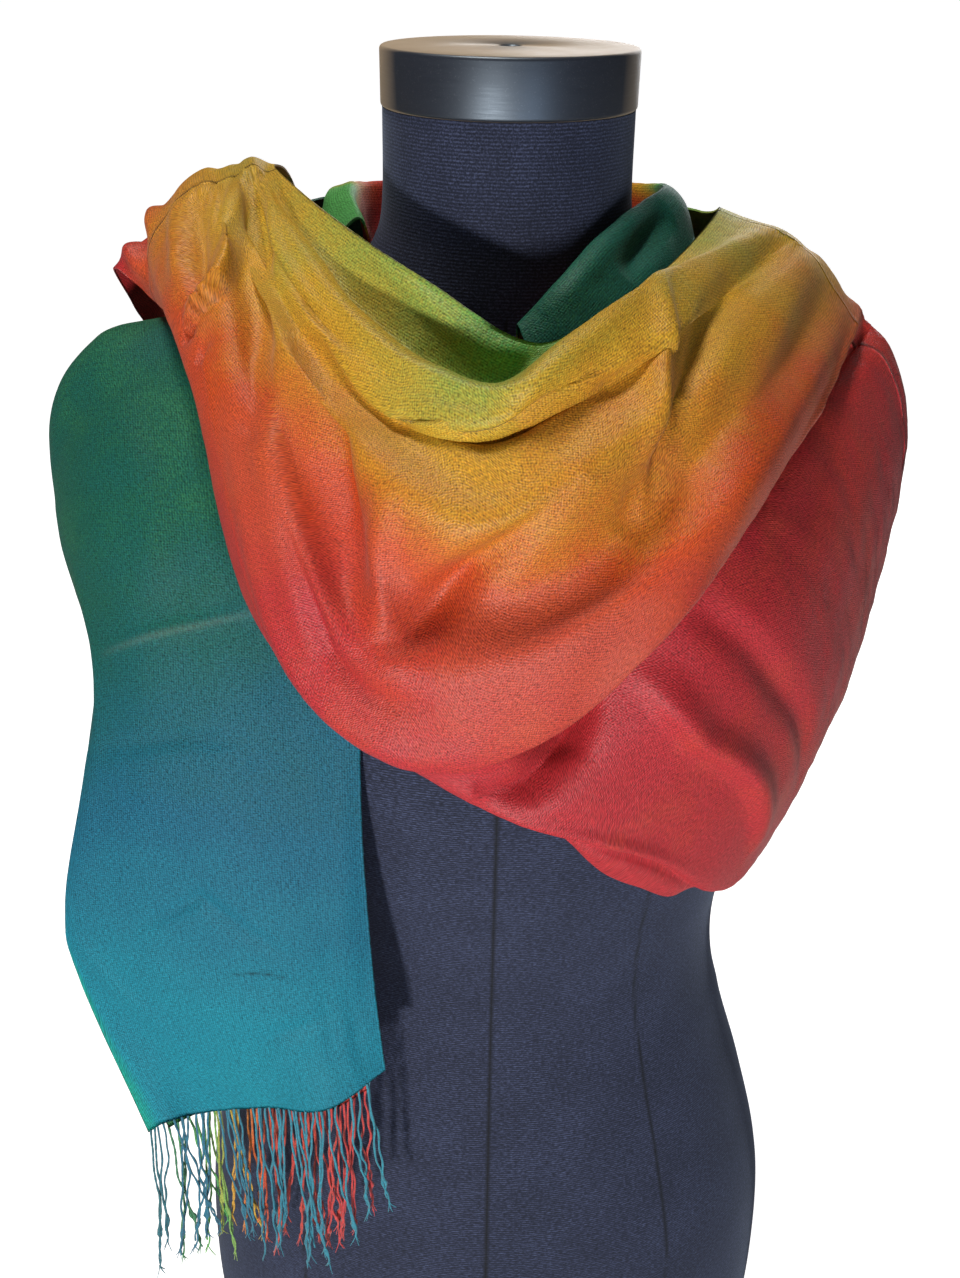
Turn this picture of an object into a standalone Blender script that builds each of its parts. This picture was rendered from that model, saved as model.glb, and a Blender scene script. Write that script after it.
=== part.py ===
"""A fringed shawl wrapped once round a limbless dress form.

Metres, +Z up. The origin is the middle of the form's flat underside, the form faces -Y, and
left and right are the viewer's, seen from the front.

Each stretch of cloth is a smooth sheet drawn through a short table. A row is a line that runs
along the cloth (a lip, a fold, a hem) and a column is a place that the line passes.
"""
import math

import bmesh
import bpy
import numpy as np
from mathutils import Vector
from mathutils.bvhtree import BVHTree

MM = 0.001
WALL = 1.6 * MM
GAP = 0.3 * MM
SEAM_SHARE = 0.2 * MM
FACET_SAG = 0.6 * MM

NECK_RADIUS = 54.3 * MM
CAP_RADIUS = 55.0 * MM
CAP_UNDERSIDE = 836.3 * MM
CAP_TOP = 860.0 * MM
CAP_ROUND = 1.5 * MM
CAP_HOLE_RADIUS = 4.5 * MM
CAP_HOLE_DEPTH = 10.0 * MM

STRAND_WIDTH = 1.3 * MM
STRAND_LENGTH = 98.0 * MM
BACKING_HEIGHT = 3.0 * MM

# The form, from its flat underside to the neck: height, half width, depth in front, depth behind.
FORM_SECTIONS = [
    (0, 178, 112, 114),
    (60, 187, 117, 120),
    (140, 186, 115, 122),
    (200, 179, 111, 118),
    (270, 161, 101, 106),
    (340, 140, 92, 94),
    (385, 131, 90, 90),
    (430, 132, 95, 92),
    (500, 144, 110, 97),
    (580, 158, 121, 102),
    (640, 170, 106, 106),
    (680, 173, 92, 99),
    (702, 166, 77, 88),
    (720, 146, 66, 77),
    (736, 118, 60, 70),
    (752, 92, 57.5, 65),
    (768, 69, 56, 61),
    (784, 58, 54.5, 57),
    (800, 55, 54.4, 55),
    (836, 54.3, 54.3, 54.3),
]

# Lines that run along the cloth from the left shoulder, across the chest and up to the right
# shoulder. The columns are left shoulder, left collar, left chest, middle, right chest,
# right collar, right shoulder.
FRONT_LINES = {
    "neckline lip": [(-102, 5, 808), (-70, -55, 799), (-30, -92, 783), (8, -108, 765),
                     (35, -100, 773), (66, -60, 783), (93, -4, 795)],
    "neckline valley": [(-107, 5, 807), (-78, -58, 783), (-42, -98, 760), (-3, -116, 752),
                        (32, -108, 771), (73, -66, 784), (108, -3, 790)],
    "second lip": [(-112, 5, 810), (-77, -70, 781), (-41, -118, 762), (-7, -140, 757),
                   (24, -132, 775), (62, -88, 787), (120, -2, 787)],
    "pocket lip": [(-116, 5, 808), (-82, -82, 773), (-46, -132, 746), (-10, -156, 747),
                   (20, -146, 758), (69, -104, 774), (128, -1, 782)],
    "pocket": [(-119, 5, 805), (-88, -78, 767), (-50, -126, 743), (-10, -143, 736),
               (23, -136, 748), (73, -102, 769), (134, 0, 777)],
    "bright swell": [(-123, 5, 804), (-91, -90, 763), (-49, -150, 729), (-8, -170, 716),
                     (30, -160, 734), (75, -118, 754), (142, 1, 771)],
    "long trough": [(-128, 5, 802), (-96, -88, 754), (-62, -142, 696), (-19, -160, 680),
                    (32, -156, 696), (84, -118, 735), (150, 2, 761)],
    "orange swell": [(-134, 5, 802), (-106, -96, 745), (-76, -150, 679), (-28, -172, 652),
                     (35, -172, 679), (97, -134, 725), (158, 3, 751)],
    "fold edge": [(-141, 5, 799), (-119, -90, 738), (-89, -140, 651), (-38, -168, 612),
                  (23, -172, 630), (82, -150, 694), (165, 4, 742)],
    "fold under": [(-147, 5, 794), (-122, -88, 736), (-94, -136, 649), (-34, -164, 607),
                   (16, -156, 634), (70, -132, 702), (170, 6, 737)],
    "red start": [(-152, 5, 788), (-125, -85, 735), (-98, -130, 648), (-31, -162, 602),
                  (24, -150, 622), (84, -120, 690), (178, 8, 731)],
    "red swell": [(-159, 5, 780), (-128, -81, 735), (-101, -123, 648), (-27, -161, 598),
                  (36, -156, 606), (116, -118, 650), (199, 9, 684)],
    "red belly": [(-163, 5, 770), (-130, -77, 735), (-102, -117, 648), (-24, -160, 594),
                  (50, -155, 580), (141, -98, 576), (197, 8, 600)],
    "low hem": [(-163, 5, 760), (-131, -73, 736), (-101, -111, 649), (-21, -156, 589),
                (60, -150, 553), (124, -96, 500), (185, 9, 542)],
    "hem turn": [(-164, 7, 753), (-130, -69, 739), (-97, -112, 652), (-18, -149, 588),
                 (62, -142, 546), (117, -88, 492), (178, 12, 520)],
    "inner layer": [(-163, 9, 747), (-126, -66, 744), (-92, -114, 659), (-15, -142, 594),
                    (60, -134, 556), (108, -92, 506), (172, 15, 503)],
}

# The thrown end down the back, from its hem up to the left shoulder: inner edge, middle,
# outer edge and how deep its folds are.
THROW_SECTIONS = {
    "hem": ((-56, 134, 425), (-126, 140, 420), (-196, 122, 432), 9),
    "low": ((-60, 132, 520), (-128, 136, 518), (-194, 118, 524), 9),
    "middle": ((-74, 134, 620), (-132, 134, 618), (-190, 110, 620), 7),
    "upper": ((-94, 116, 722), (-140, 110, 716), (-186, 86, 700), 5),
    "shoulder blade": ((-103, 86, 778), (-142, 82, 766), (-188, 60, 732), 4),
    "crest": ((-104, 46, 801), (-140, 44, 793), (-187, 30, 758), 3),
}

# The stretch across the back, from the right shoulder to the left: upper edge, middle, lower
# edge, how deep its folds are and how far its lines still lie gathered as on the shoulder.
BACK_SECTIONS = {
    "right side": ((94, 40, 786), (186, 44, 684), (170, 56, 502), 2, 1.0),
    "right back": ((68, 84, 784), (122, 106, 670), (114, 112, 492), 6, 0.5),
    "middle": ((0, 96, 784), (0, 122, 655), (0, 126, 480), 7, 0.0),
    "left back": ((-68, 84, 784), (-118, 106, 670), (-118, 110, 510), 5, 0.0),
    "left side": ((-96, 44, 786), (-187, 42, 688), (-180, 52, 560), 0, 0.0),
}
FOLD_DEPTHS = [0, -0.6, 0.5, 1, -0.5, 1, -1, 0.9, 0.4, -0.8, 0.7, -0.3, 0.6, -0.2, 0.3, 0]
GATHERED = [0, 0.06, 0.10, 0.13, 0.16, 0.19, 0.22, 0.25, 0.28, 0.31, 0.35, 0.51, 0.75, 0.89,
            0.95, 1.0]

# The tail that hangs in front from the left shoulder, as lines that run down it. The columns
# are shoulder, collar, chest, bust, under the bust, rib, waist, hip, hem.
TAIL_LINES = {
    "inner fold": [(-92, 2, 772), (-80, -52, 744), (-68, -86, 690), (-63, -106, 625),
                   (-62, -111.3, 588), (-62, -118, 535), (-60, -122, 478), (-57, -126, 430),
                   (-54, -128, 392)],
    "inner swell": [(-120, 2, 758), (-110, -48, 737), (-100, -84, 686), (-96, -99, 628),
                    (-94, -109, 590), (-94, -118, 537), (-92, -126, 476), (-90, -130, 428),
                    (-84, -138, 374)],
    "middle": [(-152, 2, 744), (-144, -42, 726), (-136, -80, 681), (-130, -97, 632),
               (-128, -108, 592), (-128, -117, 540), (-128, -125, 476), (-126, -128, 428),
               (-118, -124, 358)],
    "outer swell": [(-190, 2, 732), (-187, -34, 710), (-175, -73, 674), (-162, -92, 632),
                    (-160, -101, 594), (-162, -110, 543), (-165, -118, 478), (-163, -121, 430),
                    (-148, -112, 342)],
    "outer edge": [(-215, 2, 688), (-210, -34, 666), (-196, -63, 646), (-187, -78, 618),
                   (-184, -90, 590), (-188, -101, 547), (-203, -109, 480), (-203, -110, 433),
                   (-172, -118, 340)],
    "selvedge": [(-201, 8, 591), (-201, -38, 600), (-190, -68, 600), (-187, -81, 597),
                 (-190, -88, 577), (-196, -97, 547), (-211, -107, 481), (-210, -109, 434),
                 (-184, -120, 333)],
}

# The roll round the neck, clockwise seen from above: its crest, the middle of its slope and
# its foot under the neckline.
ROLL_SECTIONS = {
    "front tip": ((4, -88, 766), (7, -94, 760), (10, -97, 751)),
    "front right": ((21, -80, 782), (28, -87, 775), (34, -92, 763)),
    "collar right": ((37, -58, 793), (46, -64, 786), (54, -70, 773)),
    "side front": ((56, -30, 802), (65, -31, 795), (74, -34, 780)),
    "right": ((70, 2, 804), (79, 3, 797), (84, 4, 783)),
    "right back": ((60, 48, 797), (67, 54, 791), (71, 58, 779)),
    "back": ((0, 76, 795), (0, 85, 789), (0, 90, 777)),
    "left back": ((-60, 48, 796), (-67, 54, 790), (-71, 58, 779)),
    "left": ((-70, 4, 802), (-79, 4, 796), (-86, 4, 784)),
    "collar left": ((-62, -42, 797), (-69, -46, 791), (-75, -48, 781)),
}

# Soft creases laid by hand: sheet, the (column, row) places in its table that the crease
# passes, half width and height in millimetres. A trough has a height below nothing.
CREASES = [
    ("front", [(0.1, 3.2), (0.45, 6.4), (0.7, 8.4)], 7, 2.0),
    ("front", [(0.7, 6.0), (1.5, 5.9), (2.5, 6.6)], 10, -3.0),
    ("front", [(1.9, 5.3), (2.3, 5.9), (2.7, 6.8)], 9, -4.0),
    ("front", [(1.0, 4.9), (1.4, 6.9), (2.5, 7.3)], 9, 3.5),
    ("front", [(4.95, 1.6), (4.75, 4.6), (4.2, 6.5)], 8, 3.0),
    ("front", [(5.2, 1.8), (5.1, 4.8), (4.5, 6.8)], 8, -3.5),
    ("front", [(5.9, 3.4), (5.0, 5.6), (3.8, 5.9), (2.8, 6.7)], 11, -4.0),
    ("front", [(5.8, 6.0), (4.6, 6.9), (3.8, 6.5), (3.1, 6.8)], 12, 3.5),
    ("front", [(4.3, 10.6), (4.5, 11.4), (5.0, 12.7)], 13, 4.0),
    ("tail", [(5.4, 3.9), (5.0, 2.3), (4.7, 1.0)], 5, 1.4),
    ("tail", [(5.6, 0.4), (7.2, 0.3), (9.4, 0.4)], 8, 2.0),
    ("tail", [(3.0, 1.6), (3.8, 1.5), (4.7, 1.4)], 11, -2.0),
]


def remove_everything():
    for old in list(bpy.data.objects):
        bpy.data.objects.remove(old, do_unlink=True)


def material(name, color, roughness):
    made = bpy.data.materials.new(name)
    made.use_nodes = True
    shader = made.node_tree.nodes["Principled BSDF"]
    shader.inputs["Base Color"].default_value = (*color, 1.0)
    shader.inputs["Roughness"].default_value = roughness
    return made


def solid(name, points, faces, surface, collection):
    """One closed body, its faces turned outward."""
    mesh = bpy.data.meshes.new(name)
    mesh.from_pydata([tuple(point) for point in points], [], faces)
    work = bmesh.new()
    work.from_mesh(mesh)
    bmesh.ops.recalc_face_normals(work, faces=work.faces)
    if work.calc_volume(signed=True) < 0:
        bmesh.ops.reverse_faces(work, faces=work.faces)
    work.to_mesh(mesh)
    work.free()
    for face in mesh.polygons:
        face.use_smooth = True
    mesh.materials.append(surface)
    made = bpy.data.objects.new(name, mesh)
    collection.objects.link(made)
    return made


def rings(sections, around, closed_ends=True):
    """Points and faces of a tube through rings of points, with flat ends."""
    points = [point for ring in sections for point in ring]
    faces = []
    for row in range(len(sections) - 1):
        for turn in range(around):
            after = (turn + 1) % around
            faces.append((row * around + turn, row * around + after,
                          (row + 1) * around + after, (row + 1) * around + turn))
    if closed_ends:
        faces.append(tuple(range(around)))
        faces.append(tuple(range((len(sections) - 1) * around, len(sections) * around)))
    return points, faces


def smooth_weights(count, places):
    """Weights that draw a smooth line through `count` points, read at the given places."""
    weights = np.zeros((len(places), count))
    for index, place in enumerate(places):
        first = min(int(math.floor(place)), count - 2)
        t = place - first
        four = (-0.5 * t + t * t - 0.5 * t ** 3, 1 - 2.5 * t * t + 1.5 * t ** 3,
                0.5 * t + 2 * t * t - 1.5 * t ** 3, -0.5 * t * t + 0.5 * t ** 3)
        for step, weight in enumerate(four):
            at = first + step - 1
            if at < 0:
                weights[index, 0] += 2 * weight
                weights[index, 1] -= weight
            elif at > count - 1:
                weights[index, count - 1] += 2 * weight
                weights[index, count - 2] -= weight
            else:
                weights[index, at] += weight
    return weights


def surface_points(table, along, across):
    """Points of the smooth sheet through a table, rows across the cloth by columns along it."""
    return np.einsum("ri,ijk,cj->rck", smooth_weights(table.shape[0], across), table,
                     smooth_weights(table.shape[1], along))


def normals_of(grid):
    """Unit normals of a grid of points."""
    normal = np.cross(np.gradient(grid, axis=0), np.gradient(grid, axis=1))
    return normal / np.maximum(np.linalg.norm(normal, axis=2, keepdims=True), 1e-9)


def crease_heights(grid, table, sheet):
    """Height of the hand-laid creases at each point of a grid."""
    height = np.zeros(grid.shape[:2])
    for name, places, half_width, rise in CREASES:
        if name != sheet:
            continue
        steps = np.linspace(0, 1, 24)
        bends = np.linspace(0, 1, len(places))
        columns = np.interp(steps, bends, [place[0] for place in places])
        rows = np.interp(steps, bends, [place[1] for place in places])
        line = np.array([surface_points(table, [column], [row])[0, 0]
                         for column, row in zip(columns, rows)])
        apart = np.linalg.norm(grid[:, :, None, :] - line[None, None, :, :], axis=3)
        nearest = steps[np.argmin(apart, axis=2)]
        taper = np.sqrt(np.sin(np.pi * np.clip(nearest, 0, 1)) + 1e-9)
        height += rise * MM * taper * np.exp(-(apart.min(axis=2) / (half_width * MM)) ** 2)
    return height


def form_half_sizes(height):
    """Half width and depths of the form at a height."""
    table = np.array(FORM_SECTIONS) * MM
    place = np.interp(height, table[:, 0], np.arange(len(table)))
    return (smooth_weights(len(table), [place]) @ table)[0]


def form_ring(height, around):
    """One ring of the form, its front and back halves of their own depths."""
    _, half, front, behind = form_half_sizes(height)
    ring = []
    for turn in range(around):
        angle = 2 * math.pi * turn / around
        depth = front if math.sin(angle) < 0 else behind
        ring.append((half * math.cos(angle), depth * math.sin(angle), height))
    return ring


def form_distance(points):
    """About how far each point lies outside the form, and the way out."""
    def outside(place):
        height = np.clip(place[..., 2], 0.0, CAP_UNDERSIDE)
        flat = height.ravel()
        table = np.array(FORM_SECTIONS) * MM
        spot = np.interp(flat, table[:, 0], np.arange(len(table)))
        sizes = smooth_weights(len(table), spot) @ table
        half = sizes[:, 1].reshape(height.shape)
        front = sizes[:, 2].reshape(height.shape)
        behind = sizes[:, 3].reshape(height.shape)
        depth = np.where(place[..., 1] < 0, front, behind)
        return np.sqrt((place[..., 0] / half) ** 2 + (place[..., 1] / depth) ** 2) - 1
    step = 0.2 * MM
    value = outside(points)
    slope = np.stack([(outside(points + np.eye(3)[axis] * step)
                       - outside(points - np.eye(3)[axis] * step)) / (2 * step)
                      for axis in range(3)], axis=-1)
    steep = np.linalg.norm(slope, axis=-1, keepdims=True)
    return value / steep[..., 0], slope / steep


def clear_of_form(grid, gap):
    """Move the points that lie too near the form out from it."""
    for _ in range(4):
        apart, way = form_distance(grid)
        short = np.clip(gap - apart, 0, None)
        grid = grid + way * short[..., None]
    return grid


def clear_of_sheet(grid, under, gap, reach):
    """Move the points that lie too near an outer face, or behind it, out from it."""
    moved = grid.copy()
    rows, columns = grid.shape[:2]
    for row in range(rows):
        for column in range(columns):
            point = Vector(moved[row, column])
            place, normal, _, distance = under.find_nearest(point, reach)
            if place is None:
                continue
            height = (point - place).dot(normal)
            sideways = ((point - place) - normal * height).length
            if sideways < 0.6 * MM and height < gap:
                moved[row, column] = np.array(place + normal * gap)
    return moved


def outer_face(grid, lift):
    """A search tree of the outer face of a sheet."""
    points = (grid + normals_of(grid) * lift).reshape(-1, 3)
    return BVHTree.FromPolygons([tuple(point) for point in points], grid_faces(*grid.shape[:2]))


def grid_faces(rows, columns, first=0, turned=False):
    faces = []
    for row in range(rows - 1):
        for column in range(columns - 1):
            corner = first + row * columns + column
            face = (corner, corner + columns, corner + columns + 1, corner + 1)
            faces.append(tuple(reversed(face)) if turned else face)
    return faces


def along_with_seams(first, last, count):
    """Places along a sheet, with one more past each end that only steers the wall there."""
    step = (last - first) / (count - 1)
    return np.linspace(first - step, last + step, count + 2)


def cloth(name, grid, surface, collection, seams=(0, 0)):
    """A sheet of cloth with its wall centred on a grid of points.

    An end with a seam has a steering column past it, and stops short by its share of the gap.
    """
    normal = normals_of(grid) * WALL / 2
    first, last = seams[0], grid.shape[1] - seams[1]
    grid, normal = grid[:, first:last].copy(), normal[:, first:last]
    if seams[0]:
        grid[:, 0] += seam_shift(grid[:, 1] - grid[:, 0])
    if seams[1]:
        grid[:, -1] += seam_shift(grid[:, -2] - grid[:, -1])
    rows, columns = grid.shape[:2]
    points = np.concatenate([(grid + normal).reshape(-1, 3), (grid - normal).reshape(-1, 3)])
    count = rows * columns
    faces = grid_faces(rows, columns) + grid_faces(rows, columns, count, True)
    border = ([(0, column) for column in range(columns)]
              + [(row, columns - 1) for row in range(1, rows)]
              + [(rows - 1, column) for column in range(columns - 2, -1, -1)]
              + [(row, 0) for row in range(rows - 2, 0, -1)])
    for here, there in zip(border, border[1:] + border[:1]):
        a = here[0] * columns + here[1]
        b = there[0] * columns + there[1]
        faces.append((b, a, a + count, b + count))
    return solid(name, points, faces, surface, collection)


def fringe(name, hem, down, out, strands, seed, surface, collection):
    """A backing strip under a hem with strands drawn down from its lower edge."""
    turn = np.random.default_rng(seed)
    length = np.concatenate([[0], np.cumsum(np.linalg.norm(np.diff(hem, axis=0), axis=1))])
    pitch = length[-1] / strands
    stops = []
    for strand in range(strands):
        middle = (strand + 0.5) * pitch + turn.uniform(-0.1, 0.1) * pitch
        stops += [middle - STRAND_WIDTH / 2, middle + STRAND_WIDTH / 2]
    stops = [0.4 * MM] + stops + [length[-1] - 0.4 * MM]

    def read(values, places):
        return np.stack([np.interp(places, length, values[:, axis]) for axis in range(3)], axis=1)

    line = read(hem, stops)
    drop = read(down, stops)
    side = read(out, stops)
    drop /= np.linalg.norm(drop, axis=1, keepdims=True)
    side /= np.linalg.norm(side, axis=1, keepdims=True)
    top = line + drop * 0.5 * MM
    low = top + drop * BACKING_HEIGHT
    half = side * WALL / 2
    points = []
    for place in range(len(stops)):
        points += [top[place] + half[place], top[place] - half[place],
                   low[place] - half[place], low[place] + half[place]]
    faces = [(0, 1, 2, 3)]
    last = (len(stops) - 1) * 4
    faces.append((last + 3, last + 2, last + 1, last))
    for place in range(len(stops) - 1):
        a, b = place * 4, place * 4 + 4
        faces += [(a, b, b + 1, a + 1), (a + 1, b + 1, b + 2, a + 2), (a + 3, b + 3, b, a)]
        if place % 2 == 0:
            faces.append((a + 2, b + 2, b + 3, a + 3))
            continue
        root = [a + 2, b + 2, b + 3, a + 3]
        reach = STRAND_LENGTH * turn.uniform(0.82, 1.04)
        phase = turn.uniform(0, 2 * math.pi)
        lean = turn.uniform(-0.015, 0.015)
        across = (line[place + 1] - line[place]) / np.linalg.norm(line[place + 1] - line[place])
        away = side[place]
        start = np.mean([points[corner] for corner in root], axis=0)
        for step in range(1, 5):
            t = step / 4
            sway = 1.2 * MM * (math.sin(phase + 4.2 * t) - math.sin(phase))
            middle = (start + np.array([0, 0, -reach * t]) + across * (sway + lean * reach * t)
                      + away * 1.1 * MM * math.sin(phase * 1.7 + 3.1 * t))
            thin = STRAND_WIDTH / 2 * (1 - 0.35 * t)
            base = len(points)
            points += [middle - across * thin - away * thin, middle + across * thin - away * thin,
                       middle + across * thin + away * thin, middle - across * thin + away * thin]
            ring = [base, base + 1, base + 2, base + 3]
            for corner in range(4):
                after = (corner + 1) % 4
                faces.append((root[corner], root[after], ring[after], ring[corner]))
            root = ring
        faces.append(tuple(root))
    return solid(name, points, faces, surface, collection)


def bowed_sections(sections, rows):
    """Columns of a table bowed through three points, with the cloth's folds in their depth."""
    columns = []
    for upper, middle, lower, depth, *gathered in sections.values():
        t = np.linspace(0, 1, rows)[:, None]
        if gathered and gathered[0]:
            t = t * (1 - gathered[0]) + np.array(GATHERED)[:, None] * gathered[0]
        column = (np.array(upper) * (1 - t) * (1 - 2 * t) + np.array(middle) * 4 * t * (1 - t)
                  + np.array(lower) * t * (2 * t - 1))
        if depth:
            column[:, 1] += np.array(FOLD_DEPTHS) * depth
        columns.append(column)
    return np.stack(columns, axis=1) * MM


def seam_shift(way):
    """The step back from a seam that leaves its gap."""
    return way / np.linalg.norm(way, axis=1, keepdims=True) * SEAM_SHARE


def table_of(lines):
    return np.array([line for line in lines.values()], dtype=float) * MM


def make():
    remove_everything()
    collection = bpy.data.collections.new("shawl on a dress form")
    bpy.context.scene.collection.children.link(collection)

    jersey = material("navy jersey", (0.013, 0.015, 0.024), 0.85)
    black_gloss = material("black gloss plastic", (0.006, 0.006, 0.009), 0.16)
    gold = material("gold and red twill", (0.52, 0.20, 0.045), 0.55)
    green = material("dark green twill", (0.012, 0.085, 0.055), 0.55)
    blue = material("blue green twill", (0.014, 0.14, 0.19), 0.55)
    red = material("red twill", (0.33, 0.035, 0.04), 0.55)
    blue_yarn = material("blue green yarn", (0.012, 0.15, 0.17), 0.6)
    red_yarn = material("red and gold yarn", (0.40, 0.08, 0.04), 0.6)

    around = 32
    places = [0, 1, 2] + [3 + 0.5 * step for step in range(29)] + [18, 19]
    heights = np.interp(places, range(len(FORM_SECTIONS)), [row[0] * MM for row in FORM_SECTIONS])
    points, faces = rings([form_ring(height, around) for height in heights], around)
    solid("form_body", points, faces, jersey, collection)

    profile = [(NECK_RADIUS, CAP_UNDERSIDE), (CAP_RADIUS, CAP_UNDERSIDE + CAP_ROUND),
               (CAP_RADIUS, CAP_TOP - CAP_ROUND), (CAP_RADIUS - CAP_ROUND, CAP_TOP),
               (CAP_HOLE_RADIUS, CAP_TOP), (CAP_HOLE_RADIUS, CAP_TOP - CAP_HOLE_DEPTH)]
    turned = [[(radius * math.cos(2 * math.pi * turn / 40), radius * math.sin(2 * math.pi * turn / 40),
                height) for turn in range(40)] for radius, height in profile]
    points, faces = rings(turned, 40)
    solid("form_neck_cap", points, faces, black_gloss, collection)

    front = table_of(FRONT_LINES)
    lines = len(FRONT_LINES)
    throw = bowed_sections(THROW_SECTIONS, lines)
    back = bowed_sections(BACK_SECTIONS, lines)
    tail_lines = table_of(TAIL_LINES)
    after = surface_points(tail_lines, [0], np.linspace(0, len(tail_lines) - 1, lines))
    strip = np.concatenate([throw, front, back, after], axis=1)
    left_end = throw.shape[1]
    right_end = left_end + front.shape[1] - 1
    across = np.linspace(0, lines - 1, 2 * lines - 1)
    resting = GAP + WALL / 2
    last = strip.shape[1] - 2

    joined = bowed_sections({"left side": BACK_SECTIONS["left side"]}, len(TAIL_LINES))
    before = surface_points(back, [back.shape[1] - 2], np.linspace(0, lines - 1, len(TAIL_LINES)))
    tail_table = np.concatenate([before, joined, tail_lines], axis=1)
    tail_places = along_with_seams(1, 10, 28)[:-1]
    tail = surface_points(tail_table, tail_places, np.linspace(0, 5, 13))
    tail[:, :2] = surface_points(strip, last + tail_places[:2] - 1, np.linspace(0, lines - 1, 13))
    tail = tail + normals_of(tail) * crease_heights(tail, tail_table, "tail")[..., None]
    tail = clear_of_form(tail, resting - FACET_SAG)
    cloth("shawl_tail", tail, blue, collection, (1, 0))

    inner = surface_points(tail_table, np.linspace(6.3, 10, 12), np.linspace(0.25, 4.1, 9))
    share = np.sin(np.linspace(0, math.pi, 9))[:, None, None]
    inner = inner - normals_of(inner) * (WALL + 2 * GAP + 8 * MM * share)
    inner[..., 2] -= 7 * MM * np.linspace(0, 1, 12)[None, :] ** 4
    inner = clear_of_form(inner, resting)
    cloth("shawl_tail_inner", inner, red, collection)

    roll_columns = []
    for crest, slope, foot in ROLL_SECTIONS.values():
        flat = np.array([crest[0], crest[1], 0.0])
        inward = flat / np.linalg.norm(flat)
        inside = flat - inward * 4 + np.array([0, 0, crest[2] - 8.0])
        low = flat - inward * 8 + np.array([0, 0, crest[2] - 26.0])
        roll_columns.append(np.array([low, inside, crest, slope, foot], dtype=float))
    roll_table = np.stack(roll_columns, axis=1) * MM
    roll = surface_points(roll_table, np.linspace(0, 9, 37), np.linspace(0, 4, 10))
    roll = clear_of_form(roll, resting + 0.5 * MM)
    cloth("shawl_neck_roll", roll, green, collection)

    back_grid = surface_points(strip, along_with_seams(right_end, last, 20), across)
    back_grid = clear_of_form(back_grid, resting)
    cloth("shawl_back_drape", back_grid, red, collection, (1, 1))

    front_grid = surface_points(strip, along_with_seams(left_end, right_end, 39), across)
    front_grid = (front_grid
                  + normals_of(front_grid) * crease_heights(front_grid, front, "front")[..., None])
    front_grid = clear_of_form(front_grid, 2 * resting)
    front_grid = clear_of_sheet(front_grid, outer_face(tail, WALL / 2), WALL / 2 + MM, 14 * MM)
    cloth("shawl_front_drape", front_grid, gold, collection, (1, 1))

    throw_grid = surface_points(strip, along_with_seams(0, left_end, 20)[1:], np.arange(lines))
    throw_grid = clear_of_sheet(throw_grid, outer_face(back_grid, WALL / 2), WALL / 2 + MM, 16 * MM)
    throw_grid = clear_of_sheet(throw_grid, outer_face(tail, WALL / 2), WALL / 2 + MM, 16 * MM)
    cloth("shawl_shoulder_throw", throw_grid, gold, collection, (0, 1))

    fringe("tail_fringe", tail[:, -1], tail[:, -1] - tail[:, -2], normals_of(tail)[:, -1], 22, 3,
           blue_yarn, collection)
    fringe("tail_inner_fringe", inner[:, -1], inner[:, -1] - inner[:, -2],
           normals_of(inner)[:, -1], 18, 4, red_yarn, collection)
    fringe("throw_fringe", throw_grid[:, 0], throw_grid[:, 0] - throw_grid[:, 1],
           normals_of(throw_grid)[:, 0], 26, 5, red_yarn, collection)


make()
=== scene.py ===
"""Looks of a fringed twill shawl wrapped once round a limbless dress form.

Metres, +Z up. The origin is the middle of the form's flat underside, the form faces -Y, and
left and right are the viewer's, seen from the front.

Each stretch of cloth is a thin shell drawn through the same short tables as its solid. A row is
a line that runs along the cloth (a lip, a fold, a hem) and a column is a place it passes. One
strip holds the thrown end, the front and the back, so that dye, creases and weave run on from
one stretch to the next.
"""

import math

import bpy
import numpy as np
from mathutils import Matrix, Vector, noise
from mathutils.bvhtree import BVHTree


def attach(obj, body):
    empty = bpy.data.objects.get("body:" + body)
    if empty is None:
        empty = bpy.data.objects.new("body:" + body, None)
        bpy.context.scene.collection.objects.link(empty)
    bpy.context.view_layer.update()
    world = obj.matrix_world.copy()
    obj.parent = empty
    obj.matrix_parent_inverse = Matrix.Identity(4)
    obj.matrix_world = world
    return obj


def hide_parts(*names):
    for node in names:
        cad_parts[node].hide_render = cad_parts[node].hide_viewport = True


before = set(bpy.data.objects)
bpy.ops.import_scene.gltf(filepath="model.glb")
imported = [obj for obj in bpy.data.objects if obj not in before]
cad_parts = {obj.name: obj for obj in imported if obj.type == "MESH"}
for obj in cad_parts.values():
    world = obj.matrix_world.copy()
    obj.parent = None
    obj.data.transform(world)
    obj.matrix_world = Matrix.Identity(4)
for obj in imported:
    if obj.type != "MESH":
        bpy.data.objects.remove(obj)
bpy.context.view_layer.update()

MM = 0.001
SHELL = 0.9 * MM
RESTING = 1.1 * MM
MEAN_RADIUS = 0.15
LAYER_GAP = 1.8 * MM
LAYER_REACH = 16 * MM

NECK_RADIUS = 54.3 * MM
CAP_RADIUS = 55.0 * MM
CAP_UNDERSIDE = 836.3 * MM
CAP_TOP = 860.0 * MM
CAP_ROUND = 1.6 * MM
CAP_HOLE_RADIUS = 4.5 * MM
CAP_HOLE_DEPTH = 10.0 * MM

STRAND_RADIUS = 0.62 * MM
STRAND_LENGTH = 96.0 * MM
STRAND_SIDES = 6
STRAND_TWIST = 2600
LEG_STEPS = 40
HAIR_STEPS = 6
HAIRS = 4
LOWEST_STRAND = 2.0 * MM

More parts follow.
